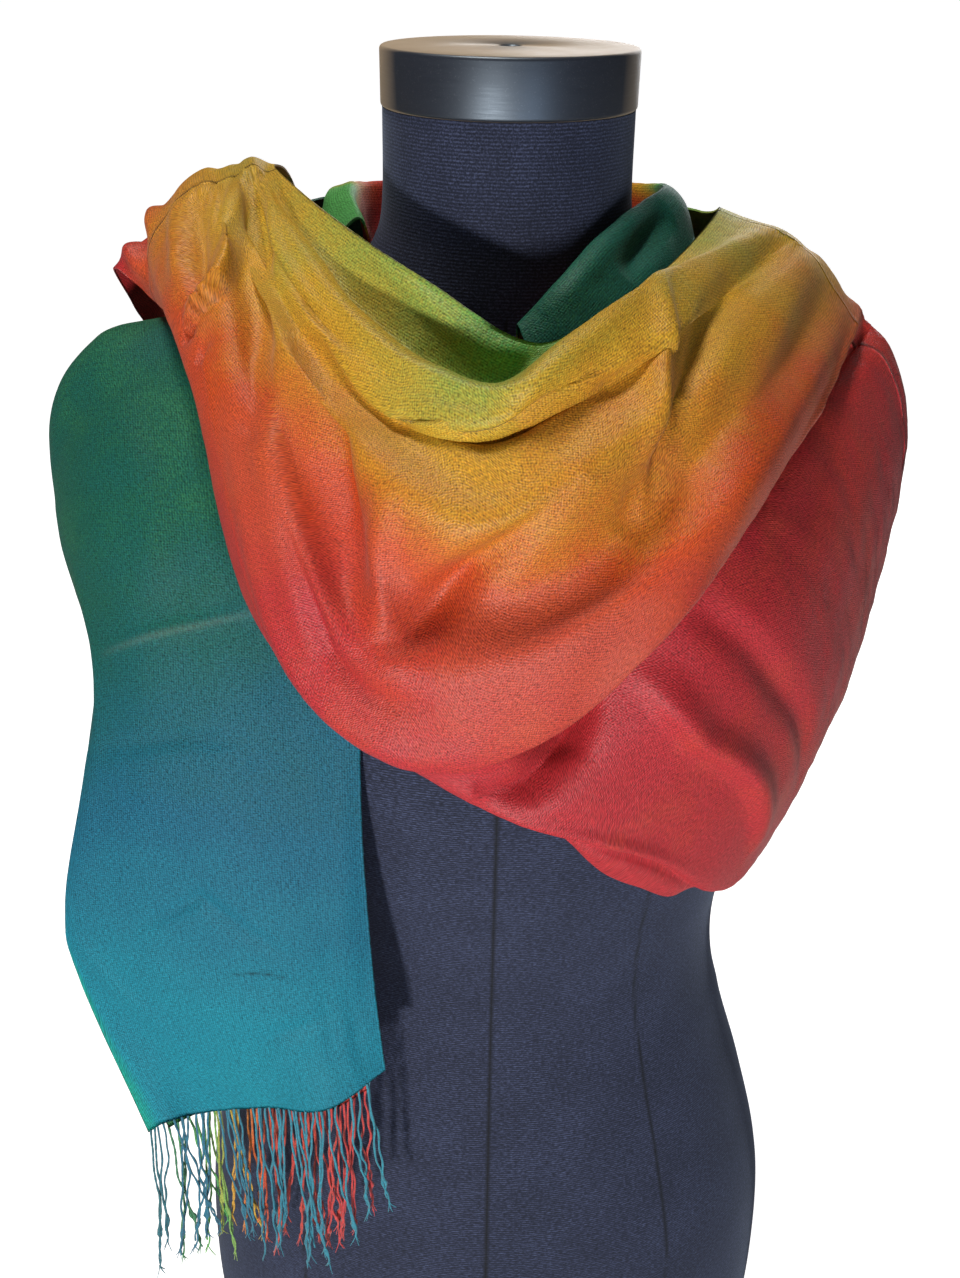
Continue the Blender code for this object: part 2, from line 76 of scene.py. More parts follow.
# How many points each stretch has along the cloth, and how many across it.
THROW_STEPS, FRONT_STEPS, BACK_STEPS, STRIP_ROWS = 140, 230, 150, 160
TAIL_STEPS, TAIL_ROWS = 241, 110
INNER_STEPS, INNER_ROWS = 90, 70
ROLL_STEPS, ROLL_ROWS = 200, 44
FORM_AROUND = 480
CAP_AROUND = 128
LINE_STEPS = 110

CAMERA_PLACE = (-0.009, -0.590, 0.905)
CAMERA_TILT = math.radians(29.3)
CAMERA_ROLL = math.radians(0.85)
LENS = 36
FLOOR_HALF = 30.0

# How bright the surroundings and the floor are as light, and as the camera sees them.
SKY_LIGHT = (0.085, 1.05)
FLOOR_LIGHT = (0.06, 0.97)

# The form, from its flat underside to the neck: height, half width, depth in front, depth behind.
FORM_SECTIONS = [
    (0, 178, 112, 114),
    (60, 187, 117, 120),
    (140, 186, 115, 122),
    (200, 179, 111, 118),
    (270, 161, 101, 106),
    (340, 140, 92, 94),
    (385, 131, 90, 90),
    (430, 132, 95, 92),
    (500, 144, 110, 97),
    (580, 158, 121, 102),
    (640, 170, 106, 106),
    (680, 173, 92, 99),
    (702, 166, 77, 88),
    (720, 146, 66, 77),
    (736, 118, 60, 70),
    (752, 92, 57.5, 65),
    (768, 69, 56, 61),
    (784, 58, 54.5, 57),
    (800, 55, 54.4, 55),
    (836, 54.3, 54.3, 54.3),
]

# Lines that run along the cloth from the left shoulder, across the chest and up to the right
# shoulder. The columns are left shoulder, left collar, left chest, middle, right chest,
# right collar, right shoulder.
FRONT_LINES = {
    "neckline lip": [(-102, 5, 808), (-70, -55, 799), (-30, -92, 783), (8, -108, 765),
                     (35, -100, 773), (66, -60, 783), (93, -4, 795)],
    "neckline valley": [(-107, 5, 807), (-78, -58, 783), (-42, -98, 760), (-3, -116, 752),
                        (32, -108, 771), (73, -66, 784), (108, -3, 790)],
    "second lip": [(-112, 5, 810), (-77, -70, 781), (-41, -118, 762), (-7, -140, 757),
                   (24, -132, 775), (62, -88, 787), (120, -2, 787)],
    "pocket lip": [(-116, 5, 808), (-82, -82, 773), (-46, -132, 746), (-10, -156, 747),
                   (20, -146, 758), (69, -104, 774), (128, -1, 782)],
    "pocket": [(-119, 5, 805), (-88, -78, 767), (-50, -126, 743), (-10, -143, 736),
               (23, -136, 748), (73, -102, 769), (134, 0, 777)],
    "bright swell": [(-123, 5, 804), (-91, -90, 763), (-49, -150, 729), (-8, -170, 716),
                     (30, -160, 734), (75, -118, 754), (142, 1, 771)],
    "long trough": [(-128, 5, 802), (-96, -88, 754), (-62, -142, 696), (-19, -160, 680),
                    (32, -156, 696), (84, -118, 735), (150, 2, 761)],
    "orange swell": [(-134, 5, 802), (-106, -96, 745), (-76, -150, 679), (-28, -172, 652),
                     (35, -172, 679), (97, -134, 725), (158, 3, 751)],
    "fold edge": [(-141, 5, 799), (-119, -90, 738), (-89, -140, 651), (-38, -168, 612),
                  (23, -172, 630), (82, -150, 694), (165, 4, 742)],
    "fold under": [(-147, 5, 794), (-122, -88, 736), (-94, -136, 649), (-34, -164, 607),
                   (16, -156, 634), (70, -132, 702), (170, 6, 737)],
    "red start": [(-152, 5, 788), (-125, -85, 735), (-98, -130, 648), (-31, -162, 602),
                  (24, -150, 622), (84, -120, 690), (178, 8, 731)],
    "red swell": [(-159, 5, 780), (-128, -81, 735), (-101, -123, 648), (-27, -161, 598),
                  (36, -156, 606), (116, -118, 650), (199, 9, 684)],
    "red belly": [(-163, 5, 770), (-130, -77, 735), (-102, -117, 648), (-24, -160, 594),
                  (50, -155, 580), (141, -98, 576), (197, 8, 600)],
    "low hem": [(-163, 5, 760), (-131, -73, 736), (-101, -111, 649), (-21, -156, 589),
                (60, -150, 553), (124, -96, 500), (185, 9, 542)],
    "hem turn": [(-164, 7, 753), (-130, -69, 739), (-97, -112, 652), (-18, -149, 588),
                 (62, -142, 546), (117, -88, 492), (178, 12, 520)],
    "inner layer": [(-163, 9, 747), (-126, -66, 744), (-92, -114, 659), (-15, -142, 594),
                    (60, -134, 556), (108, -92, 506), (172, 15, 503)],
}

# The thrown end down the back, from its hem up to the left shoulder: inner edge, middle,
# outer edge and how deep its folds are.
THROW_SECTIONS = {
    "hem": ((-56, 134, 425), (-126, 140, 420), (-196, 122, 432), 9),
    "low": ((-60, 132, 520), (-128, 136, 518), (-194, 118, 524), 9),
    "middle": ((-74, 134, 620), (-132, 134, 618), (-190, 110, 620), 7),
    "upper": ((-94, 116, 722), (-140, 110, 716), (-186, 86, 700), 5),
    "shoulder blade": ((-103, 86, 778), (-142, 82, 766), (-188, 60, 732), 4),
    "crest": ((-104, 46, 801), (-140, 44, 793), (-187, 30, 758), 3),
}

# The stretch across the back, from the right shoulder to the left: upper edge, middle, lower
# edge, how deep its folds are and how far its lines still lie gathered as on the shoulder.
BACK_SECTIONS = {
    "right side": ((94, 40, 786), (186, 44, 684), (170, 56, 502), 2, 1.0),
    "right back": ((68, 84, 784), (122, 106, 670), (114, 112, 492), 6, 0.5),
    "middle": ((0, 96, 784), (0, 122, 655), (0, 126, 480), 7, 0.0),
    "left back": ((-68, 84, 784), (-118, 106, 670), (-118, 110, 510), 5, 0.0),
    "left side": ((-96, 44, 786), (-187, 42, 688), (-180, 52, 560), 0, 0.0),
}
FOLD_DEPTHS = [0, -0.6, 0.5, 1, -0.5, 1, -1, 0.9, 0.4, -0.8, 0.7, -0.3, 0.6, -0.2, 0.3, 0]
GATHERED = [0, 0.06, 0.10, 0.13, 0.16, 0.19, 0.22, 0.25, 0.28, 0.31, 0.35, 0.51, 0.75, 0.89,
            0.95, 1.0]

# The tail that hangs in front from the left shoulder, as lines that run down it. The columns
# are shoulder, collar, chest, bust, under the bust, rib, waist, hip, hem.
TAIL_LINES = {
    "inner fold": [(-92, 2, 772), (-80, -52, 744), (-68, -86, 690), (-63, -106, 625),
                   (-62, -111.3, 588), (-62, -118, 535), (-60, -122, 478), (-57, -126, 430),
                   (-54, -128, 392)],
    "inner swell": [(-120, 2, 758), (-110, -48, 737), (-100, -84, 686), (-96, -99, 628),
                    (-94, -109, 590), (-94, -118, 537), (-92, -126, 476), (-90, -130, 428),
                    (-84, -138, 374)],
    "middle": [(-152, 2, 744), (-144, -42, 726), (-136, -80, 681), (-130, -97, 632),
               (-128, -108, 592), (-128, -117, 540), (-128, -125, 476), (-126, -128, 428),
               (-118, -124, 358)],
    "outer swell": [(-190, 2, 732), (-187, -34, 710), (-175, -73, 674), (-162, -92, 632),
                    (-160, -101, 594), (-162, -110, 543), (-165, -118, 478), (-163, -121, 430),
                    (-148, -112, 342)],
    "outer edge": [(-215, 2, 688), (-210, -34, 666), (-196, -63, 646), (-187, -78, 618),
                   (-184, -90, 590), (-188, -101, 547), (-203, -109, 480), (-203, -110, 433),
                   (-172, -118, 340)],
    "selvedge": [(-201, 8, 591), (-201, -38, 600), (-190, -68, 600), (-187, -81, 597),
                 (-190, -88, 577), (-196, -97, 547), (-211, -107, 481), (-210, -109, 434),
                 (-184, -120, 333)],
}

# The roll round the neck, clockwise seen from above: its crest, the middle of its slope and
# its foot under the neckline.
ROLL_SECTIONS = {
    "front tip": ((4, -88, 766), (7, -94, 760), (10, -97, 751)),
    "front right": ((21, -80, 782), (28, -87, 775), (34, -92, 763)),
    "collar right": ((37, -58, 793), (46, -64, 786), (54, -70, 773)),
    "side front": ((56, -30, 802), (65, -31, 795), (74, -34, 780)),
    "right": ((70, 2, 804), (79, 3, 797), (84, 4, 783)),
    "right back": ((60, 48, 797), (67, 54, 791), (71, 58, 779)),
    "back": ((0, 76, 795), (0, 85, 789), (0, 90, 777)),
    "left back": ((-60, 48, 796), (-67, 54, 790), (-71, 58, 779)),
    "left": ((-70, 4, 802), (-79, 4, 796), (-86, 4, 784)),
    "collar left": ((-62, -42, 797), (-69, -46, 791), (-75, -48, 781)),
}

# Colours of the dye, from one selvedge of the shawl to the other.
DYES = {
    "sea green": (0.006, 0.300, 0.160),
    "teal": (0.008, 0.190, 0.250),
    "blue": (0.008, 0.100, 0.165),
    "dark green": (0.010, 0.092, 0.063),
    "green": (0.080, 0.330, 0.075),
    "gold": (0.500, 0.285, 0.020),
    "orange": (0.490, 0.062, 0.009),
    "red": (0.400, 0.020, 0.026),
}

# Which dye the cloth has at some of its lines, 0 for teal up to 6 for red, along the strip.
# Sea green is -1.
DYE_ROWS = (0, 1.5, 3, 5, 6, 7, 8, 9, 15)
DYE_ALONG = {
    "throw hem": (3.3, 3.6, 3.9, 4.3, 4.6, 4.9, 5.2, 5.5, 6.0),
    "throw low": (3.4, 3.6, 3.9, 4.3, 4.6, 4.9, 5.2, 5.5, 6.0),
    "throw middle": (3.5, 3.7, 3.9, 4.2, 4.5, 4.8, 5.1, 5.4, 6.0),
    "throw upper": (3.7, 3.8, 3.9, 4.1, 4.3, 4.6, 4.9, 5.2, 6.0),
    "shoulder blade": (3.9, 3.9, 3.95, 4.0, 4.2, 4.4, 4.7, 5.0, 6.0),
    "crest": (3.95, 3.95, 3.95, 4.0, 4.05, 4.1, 4.3, 4.6, 6.0),
    "left shoulder": (4.0, 4.0, 3.95, 4.0, 4.05, 4.1, 4.15, 4.25, 5.0),
    "left collar": (3.75, 4.0, 4.0, 4.1, 4.3, 4.75, 5.0, 5.2, 5.4),
    # Left chest and middle run redder at rows 5 to 8, partly the dye's own red and partly painted
    # shade that darkens the lower chest.
    "left chest": (3.2, 3.7, 3.9, 4.5, 5.4, 5.8, 6.0, 6.0, 6.0),
    "middle": (2.95, 3.1, 3.85, 4.3, 5.2, 5.75, 6.0, 6.0, 6.0),
    "right chest": (3.5, 3.8, 3.95, 4.25, 4.8, 5.3, 5.7, 6.0, 6.0),
    "right collar": (3.85, 3.95, 4.0, 4.15, 4.5, 5.1, 5.4, 5.95, 6.0),
    "right shoulder": (3.5, 3.7, 3.9, 4.1, 4.25, 4.6, 4.9, 5.9, 6.0),
    "right side": (3.3, 3.5, 3.8, 4.3, 4.6, 5.0, 5.4, 5.9, 6.0),
    "right back": (3.0, 3.3, 3.6, 4.1, 4.4, 4.8, 5.1, 5.5, 6.0),
    "back": (2.6, 2.8, 3.1, 3.6, 3.9, 4.1, 4.4, 4.7, 5.6),
    "left back": (2.2, 2.3, 2.5, 2.8, 2.9, 3.1, 3.3, 3.5, 4.3),
    "left side": (2.0, 2.0, 2.0, 2.0, 2.0, 2.0, 2.0, 2.0, 2.0),
    "tail": (2.0, 2.0, 2.0, 2.0, 2.0, 2.0, 2.0, 2.0, 2.0),
}

# The same for the tail in front, at its lines from the inner fold to the selvedge. The columns
# are the tail's own, with the left side of the back before them.
TAIL_DYE_ROWS = (0, 2, 4, 5)
TAIL_DYE_ALONG = {
    "left back": (2.0, 2.0, 2.0, 2.0),
    "left side": (2.0, 2.0, 2.0, 2.0),
    "shoulder": (2.0, 2.0, 2.0, 2.0),
    "collar": (2.0, 2.0, 2.0, 2.0),
    "chest": (1.9, 2.0, 2.0, 2.0),
    "bust": (1.6, 1.8, 1.9, 1.9),
    "under the bust": (1.1, 1.35, 1.6, 1.7),
    "rib": (1.0, 1.0, 1.2, 1.4),
    "waist": (0.8, 0.6, 0.6, 0.5),
    "hip": (0.5, 0.1, 0.3, -0.5),
    "hem": (0.6, 0.1, 0.4, -0.7),
}

# Soft creases laid on the strip: the (column, row) places that the crease passes, half
# width and height in millimetres, and how much narrower its steep side is. The steep side lies
# below a line that runs to the right. A trough has a height below nothing. Column 6 is the left
# shoulder, 9 the middle of the front and 12 the right shoulder.
STRIP_CREASES = [
    ([(6.72, 10.4), (6.68, 8.2), (6.60, 6.8), (6.40, 5.4), (6.25, 4.6), (6.0, 2.7)], 6, 10.5, 0.32),
    ([(6.05, 2.3), (6.40, 4.0), (6.66, 5.5), (6.95, 6.6), (7.3, 6.9)], 8, -9.0, 1),
    ([(6.05, 7.5), (6.35, 7.8), (6.5, 7.9), (6.66, 8.0)], 5, -6.5, 1),
    ([(5.95, 9.2), (6.3, 9.5), (6.6, 9.8)], 6, 4.0, 1),
    ([(6.78, 11.4), (6.72, 9.6), (6.68, 8.0)], 2.4, -4.0, 1),
    ([(6.87, 9.8), (6.83, 8.6), (6.79, 7.5)], 2.4, -3.5, 1),
    ([(6.55, 3.5), (7.08, 2.85), (7.60, 2.5)], 2.0, -3.2, 1),
    ([(6.5, 2.1), (6.95, 2.1), (7.62, 2.15), (8.05, 2.15), (8.47, 2.1), (8.95, 2.25), (9.57, 2.5),
      (10.02, 2.4), (10.8, 2.2)], 6, 5.0, 0.4),
    ([(10.5, 2.8), (9.85, 3.1), (9.47, 3.25), (9.02, 3.2), (8.6, 3.05), (8.1, 2.8)], 6, -9.5, 0.7),
    ([(8.3, 3.9), (9.0, 4.3), (9.6, 4.3), (10.3, 4.0)], 8, 7.0, 1),
    ([(7.3, 0.1), (7.9, 0.2), (8.35, 0.3), (8.75, 0.3), (9.15, 0.15)], 5, 4.0, 0.8),
    ([(8.1, 1.0), (8.6, 1.05), (9.0, 1.0), (9.3, 0.8)], 6, -6.0, 1),
    ([(6.55, 0.9), (7.0, 1.0), (7.5, 1.2)], 6, 2.4, 1),
    ([(7.18, 3.9), (7.47, 5.0), (7.70, 5.6), (7.97, 6.05), (8.27, 6.6), (8.7, 7.0)], 11, -12.0, 1),
    ([(8.1, 5.0), (8.25, 5.7), (8.45, 6.3), (8.6, 6.75)], 7, 6.0, 1),
    ([(9.9, 4.9), (9.37, 5.3), (9.05, 5.6), (8.9, 5.9), (8.78, 6.3), (8.65, 6.9)], 8, -10.0, 1),
    ([(7.45, 6.85), (7.9, 7.08), (8.08, 7.25), (8.28, 7.42), (8.55, 7.42), (9.1, 7.3)], 5, -7.0, 1),
    ([(7.1, 7.6), (7.8, 7.9), (8.3, 8.0), (8.8, 7.9), (9.6, 7.8)], 7, 5.0, 1),
    ([(7.12, 7.5), (7.22, 7.1), (7.34, 6.7)], 2.4, -1.8, 1),
    ([(7.02, 5.4), (7.34, 6.6), (7.75, 6.7)], 8, 4.0, 1),
    ([(10.35, 6.0), (10.67, 5.0), (10.75, 3.9), (11.0, 1.6)], 7, 6.0, 0.4),
    ([(12.0, 2.9), (11.4, 2.95), (11.22, 3.7), (10.87, 5.1), (10.58, 5.45), (10.2, 5.9)], 7, -10.0, 1),
    ([(12.1, 3.9), (11.5, 5.2), (11.1, 6.1), (10.65, 6.7)], 12, 5.0, 1),
    ([(10.75, 6.1), (10.3, 6.6), (9.8, 6.5), (9.4, 6.7)], 8, -3.5, 1),
    ([(12.2, 8.0), (11.8, 8.0), (11.4, 8.3), (11.0, 8.1), (10.5, 8.0)], 6, 4.0, 0.5),
    ([(12.6, 9.4), (11.95, 9.4), (11.5, 9.8), (11.2, 10.0), (10.7, 9.2)], 7, -12.0, 1),
    ([(10.9, 8.9), (10.5, 8.9), (10.2, 9.4), (9.92, 10.5), (9.6, 11.1), (9.2, 11.5)], 9, -16.0, 1),
    ([(10.42, 10.3), (10.48, 11.4), (10.72, 12.2), (10.92, 12.7)], 9, 8.0, 0.6),
    ([(10.74, 10.2), (10.90, 11.4), (11.14, 12.5)], 8, -5.0, 1),
    ([(9.2, 12.5), (9.6, 12.7), (10.05, 12.95), (10.5, 13.0)], 4, 3.0, 0.5),
    ([(9.45, 13.5), (9.8, 13.5), (10.2, 13.5), (10.6, 13.5)], 3, -6.0, 1),
    ([(9.25, 8.8), (9.6, 10.0), (9.9, 11.2)], 7, 3.0, 1),
    ([(4.9, 11.4), (5.4, 11.2), (5.9, 11.3)], 5, 6.0, 1),
    ([(4.9, 12.6), (5.4, 12.5), (5.9, 12.4)], 4, -6.0, 1),
    ([(4.8, 13.9), (5.4, 13.8), (5.9, 13.6)], 5, 5.0, 1),
    ([(13.1, 3.0), (13.6, 6.5), (14.5, 8.0)], 12, -5.0, 1),
    ([(13.2, 6.0), (13.9, 9.0), (14.9, 9.6)], 11, 4.4, 1),
    ([(15.7, 3.2), (15.0, 6.0), (14.2, 10.8)], 13, 4.4, 1),
    ([(15.8, 8.0), (15.2, 10.2), (14.6, 12.6)], 10, -4.4, 1),
    ([(1.0, 3.4), (2.4, 3.8), (4.2, 3.0)], 7, 3.2, 1),
    ([(0.8, 11.5), (2.6, 11.0), (4.6, 10.4)], 8, -3.6, 1),
]

TAIL_CREASES = [
    ([(5.39, 3.82), (5.04, 2.35), (4.72, 1.1)], 3.4, 1.3, 1),
    ([(5.63, 0.38), (7.15, 0.3), (8.77, 0.42)], 8, 2.0, 1),
    ([(2.9, 1.9), (3.9, 1.6), (4.69, 1.37)], 9, -3.4, 1),
    ([(3.0, 2.7), (4.0, 2.4), (4.8, 2.6)], 10, 2.4, 1),
    ([(6.75, 4.43), (6.27, 2.47), (6.16, 1.28)], 5, -1.6, 1),
    ([(8.13, 3.42), (7.65, 2.33), (8.19, 1.08)], 4, -1.7, 1),
    ([(9.45, 2.9), (9.0, 3.6), (8.3, 4.2)], 6, 1.6, 1),
    ([(8.9, 0.6), (9.2, 1.6), (9.5, 2.0)], 5, -1.4, 1),
]

ROLL_CREASES = [
    ([(1.9, 3.3), (2.6, 3.1), (3.3, 3.0)], 5, -6.0, 1),
    ([(0.4, 2.6), (1.6, 2.5), (2.9, 2.3)], 5, 2.5, 1),
    ([(7.2, 2.8), (7.8, 2.9), (8.4, 2.9)], 4, 2.5, 1),
]

# Lines painted paler or darker into the cloth's colour along its creases: the pale ones are painted
# highlight on lit fold edges and ridges, the dark ones painted shade in creases.
# Places, half width in millimetres, how much paler (above nothing) or darker they are, and how much
# narrower the steep side is.
STRIP_PAINTED_LIGHT_LINES = [
    ([(6.05, 3.2), (6.40, 5.3), (6.62, 6.9), (6.68, 8.6)], 2.6, 0.26, 1),
    ([(6.66, 3.3), (7.08, 2.78), (7.60, 2.45)], 1.0, -0.9, 1),
]
TAIL_PAINTED_LIGHT_LINES = [
    ([(5.42, 3.85), (5.04, 2.35), (4.70, 0.9)], 1.5, 0.10, 1),
    ([(8.45, 2.1), (8.36, 1.6), (8.46, 1.15)], 0.7, -0.8, 1),
]

# Puckers that run across the cloth: (column, row) middle, reach along and across in columns and
# rows, spacing in millimetres and depth in millimetres.
STRIP_PUCKERS = [
    ((11.5, 12.2), (0.55, 3.2), 4.5, 0.7),
    ((12.3, 12.0), (0.5, 3.5), 5, 0.7),
    ((5.5, 12.5), (0.5, 2.5), 7, 1.2),
    ((6.2, 6.0), (0.35, 6.0), 9, 0.6),
    ((0.2, 8.0), (0.8, 8.0), 16, 1.0),
]
TAIL_PUCKERS = [
    ((9.2, 0.25), (1.0, 0.8), 7, 0.7),
    ((9.8, 2.6), (0.5, 2.6), 12, 0.8),
]


def smooth_weights(count, places):
    """Weights that draw a smooth line through `count` points, read at the given places."""
    weights = np.zeros((len(places), count))
    for index, place in enumerate(places):
        first = int(min(max(math.floor(place), 0), count - 2))
        t = place - first
        four = (-0.5 * t + t * t - 0.5 * t ** 3, 1 - 2.5 * t * t + 1.5 * t ** 3,
                0.5 * t + 2 * t * t - 1.5 * t ** 3, -0.5 * t * t + 0.5 * t ** 3)
        for step, weight in enumerate(four):
            at = first + step - 1
            if at < 0:
                weights[index, 0] += 2 * weight
                weights[index, 1] -= weight
            elif at > count - 1:
                weights[index, count - 1] += 2 * weight
                weights[index, count - 2] -= weight
            else:
                weights[index, at] += weight
    return weights


def surface_points(table, along, across):
    """Points of the smooth sheet through a table, rows across the cloth by columns along it."""
    return np.einsum("ri,ijk,cj->rck", smooth_weights(table.shape[0], across), table,
                     smooth_weights(table.shape[1], along))


def normals_of(grid):
    """Unit normals of a grid of points."""
    normal = np.cross(np.gradient(grid, axis=0), np.gradient(grid, axis=1))
    return normal / np.maximum(np.linalg.norm(normal, axis=2, keepdims=True), 1e-9)


def bowed_sections(sections, rows):
    """Columns of a table bowed through three points, with the cloth's folds in their depth."""
    columns = []
    for upper, middle, lower, depth, *gathered in sections.values():
        t = np.linspace(0, 1, rows)[:, None]
        if gathered and gathered[0]:
            t = t * (1 - gathered[0]) + np.array(GATHERED)[:, None] * gathered[0]
        column = (np.array(upper) * (1 - t) * (1 - 2 * t) + np.array(middle) * 4 * t * (1 - t)
                  + np.array(lower) * t * (2 * t - 1))
        if depth:
            column[:, 1] += np.array(FOLD_DEPTHS) * depth
        columns.append(column)
    return np.stack(columns, axis=1) * MM


def table_of(lines):
    return np.array(list(lines.values()), dtype=float) * MM


def form_half_sizes(heights):
    """Half width and the two depths of the form at each height."""
    table = np.array(FORM_SECTIONS) * MM
    places = np.interp(heights, table[:, 0], np.arange(len(table)))
    return (smooth_weights(len(table), places) @ table)[:, 1:]


FINE_HEIGHTS = np.linspace(0.0, CAP_UNDERSIDE, 840)
FINE_SIZES = form_half_sizes(FINE_HEIGHTS)


def form_distance(points):
    """About how far each point lies outside the form, and the way out."""
    def outside(place):
        half, front, behind = [np.interp(place[..., 2], FINE_HEIGHTS, FINE_SIZES[:, part])
                               for part in range(3)]
        depth = np.where(place[..., 1] < 0, front, behind)
        return np.sqrt((place[..., 0] / half) ** 2 + (place[..., 1] / depth) ** 2) - 1
    step = 0.4 * MM
    value = outside(points)
    slope = np.stack([(outside(points + np.eye(3)[axis] * step)
                       - outside(points - np.eye(3)[axis] * step)) / (2 * step)
                      for axis in range(3)], axis=-1)
    steep = np.linalg.norm(slope, axis=-1, keepdims=True)
    return value / steep[..., 0], slope / steep


def clear_of_form(grid, gap):
    """Move the points that lie too near the form out from it."""
    for _ in range(4):
        apart, way = form_distance(grid)
        grid = grid + way * np.clip(gap - apart, 0, None)[..., None]
    return grid


def clear_of_sheet(grid, under, gap, reach):
    """Move the points that lie too near an outer face, or behind it, out from it."""
    moved = grid.copy()
    rows, columns = grid.shape[:2]
    for row in range(rows):
        for column in range(columns):
            point = Vector(moved[row, column])
            place, normal, _, _ = under.find_nearest(point, reach)
            if place is None:
                continue
            height = (point - place).dot(normal)
            sideways = ((point - place) - normal * height).length
            if sideways < 0.6 * MM and height < gap:
                moved[row, column] = np.array(place + normal * gap)
    return moved


def grid_faces(rows, columns, first=0, turned=False):
    corner = first + (np.arange(rows - 1)[:, None] * columns + np.arange(columns - 1)[None]).ravel()
    faces = np.stack([corner, corner + columns, corner + columns + 1, corner + 1], axis=1)
    return faces[:, ::-1] if turned else faces


def ring_faces(steps, sides):
    """Faces between the rings of a round piece."""
    step = np.arange(steps - 1)[:, None] * sides
    corner = (step + np.arange(sides)[None, :]).ravel()
    beside = (step + (np.arange(sides) + 1)[None, :] % sides).ravel()
    return np.stack([corner, beside, beside + sides, corner + sides], axis=1)


def outer_face(grid, lift):
    """A search tree of the outer face of a sheet."""
    points = (grid + normals_of(grid) * lift).reshape(-1, 3)
    return BVHTree.FromPolygons(points.tolist(), grid_faces(*grid.shape[:2]).tolist())


def line_strength(grid, along, across, table, lines):
    """How strong the listed lines are at each point of a grid, each on its own layer."""
    strength = np.zeros(grid.shape[:2])
    for places, half_width, amount, steep in lines:
        steps = np.linspace(0, 1, LINE_STEPS)
        bends = np.linspace(0, 1, len(places))
        columns = np.interp(steps, bends, [place[0] for place in places])
        rows = np.interp(steps, bends, [place[1] for place in places])
        line = np.array([surface_points(table, [column], [row])[0, 0]
                         for column, row in zip(columns, rows)])
        first = np.searchsorted(along, columns.min() - 1.6)
        end = np.searchsorted(along, columns.max() + 1.6)
        if first >= end:
            continue
        near = grid[:, first:end]
        apart = np.linalg.norm(near[:, :, None, :] - line[None, None, :, :], axis=3)
        nearest = np.argmin(apart, axis=2)
        row_gap = np.abs(across[:, None] - rows[nearest])
        column_gap = np.abs(along[None, first:end] - columns[nearest])
        layer = np.clip(2.6 - 1.4 * row_gap, 0, 1) * np.clip(3.2 - 2.6 * column_gap, 0, 1)
        side = (np.gradient(columns)[nearest] * (across[:, None] - rows[nearest])
                - np.gradient(rows)[nearest] * (along[None, first:end] - columns[nearest]))
        reach = half_width * MM * np.where(side > 0, steep, 1.0)
        taper = np.sin(np.pi * np.clip(steps[nearest], 0, 1)) ** 0.8
        strength[:, first:end] += (amount * taper * layer
                                   * np.exp(-(apart.min(axis=2) / reach) ** 2))
    return strength


def pucker_heights(places, along, across, puckers):
    """Long narrow wrinkles that run across the cloth, in patches."""
    height = np.zeros(places.shape[:2])
    for (column, row), (wide, tall), spacing, depth in puckers:
        patch = (np.exp(-((along[None, :] - column) / wide) ** 2)
                 * np.exp(-((across[:, None] - row) / tall) ** 2))
        if patch.max() < 0.02:
            continue
        scale = np.array([1 / (spacing * MM), 0.22 / (spacing * MM)])
        flat = (places * scale).reshape(-1, 2)
        rise = np.array([noise.noise(Vector((x, y, column))) for x, y in flat.tolist()])
        height += depth * MM * 1.8 * patch * rise.reshape(patch.shape)
    return height


def wrinkle_heights(grid, size, depth, seed):
    """Small uneven wrinkles, from smooth noise in space."""
    offset = Vector((seed * 7.3, seed * 3.1, seed * 1.7))
    flat = grid.reshape(-1, 3) / size
    heights = [noise.noise(Vector(point) + offset) for point in flat.tolist()]
    return np.array(heights).reshape(grid.shape[:2]) * depth


def thread_places(grid):
    """Place of each point in the weave, in metres along the cloth and across it."""
    along = np.concatenate([np.zeros((grid.shape[0], 1)),
                            np.cumsum(np.linalg.norm(np.diff(grid, axis=1), axis=2), axis=1)], axis=1)
    across = np.concatenate([np.zeros((1, grid.shape[1])),
                             np.cumsum(np.linalg.norm(np.diff(grid, axis=0), axis=2), axis=0)])
    middle = grid.shape[1] // 2
    return np.stack([along - along[:, middle:middle + 1], across], axis=2)


def dye_values(table, rows_at, along, across):
    """Dye number of each point, smooth between the places of a dye table."""
    values = np.array(list(table.values()))
    by_row = np.array([np.interp(across, rows_at, column) for column in values])
    places = np.arange(len(values))
    return np.array([np.interp(along, places, by_row[:, row]) for row in range(len(across))])


def new_object(name, points, faces, surface, replaced):
    mesh = bpy.data.meshes.new(name)
    mesh.from_pydata(points.tolist(), [], faces if isinstance(faces, list) else faces.tolist())
    mesh.shade_smooth()
    mesh.materials.append(surface)
    made = bpy.data.objects.new(name, mesh)
    bpy.context.scene.collection.objects.link(made)
    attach(made, "root")
    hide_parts(*replaced)
    return made


def write_values(mesh, name, values):
    layer = mesh.attributes.new(name, "FLOAT", "POINT")
    layer.data.foreach_set("value", values.astype(np.float32).ravel())


def write_places(mesh, places):
    """A UV map from one place for each point."""
    corners = np.zeros(len(mesh.loops), np.int32)
    mesh.loops.foreach_get("vertex_index", corners)
    layer = mesh.uv_layers.new(name="weave")
    layer.data.foreach_set("uv", places[corners].astype(np.float32).ravel())


def sheet_of(grid, dye, painted_light):
    """All that a shell needs to know of a sheet: points, way out, place in the weave, dye and its
    lines of painted highlight and painted shade.
    """
    return grid, normals_of(grid), thread_places(grid), dye, painted_light


def cut(sheet, first, end):
    """The stretch of a sheet between two of its columns."""
    return [values[:, first:end] for values in sheet]


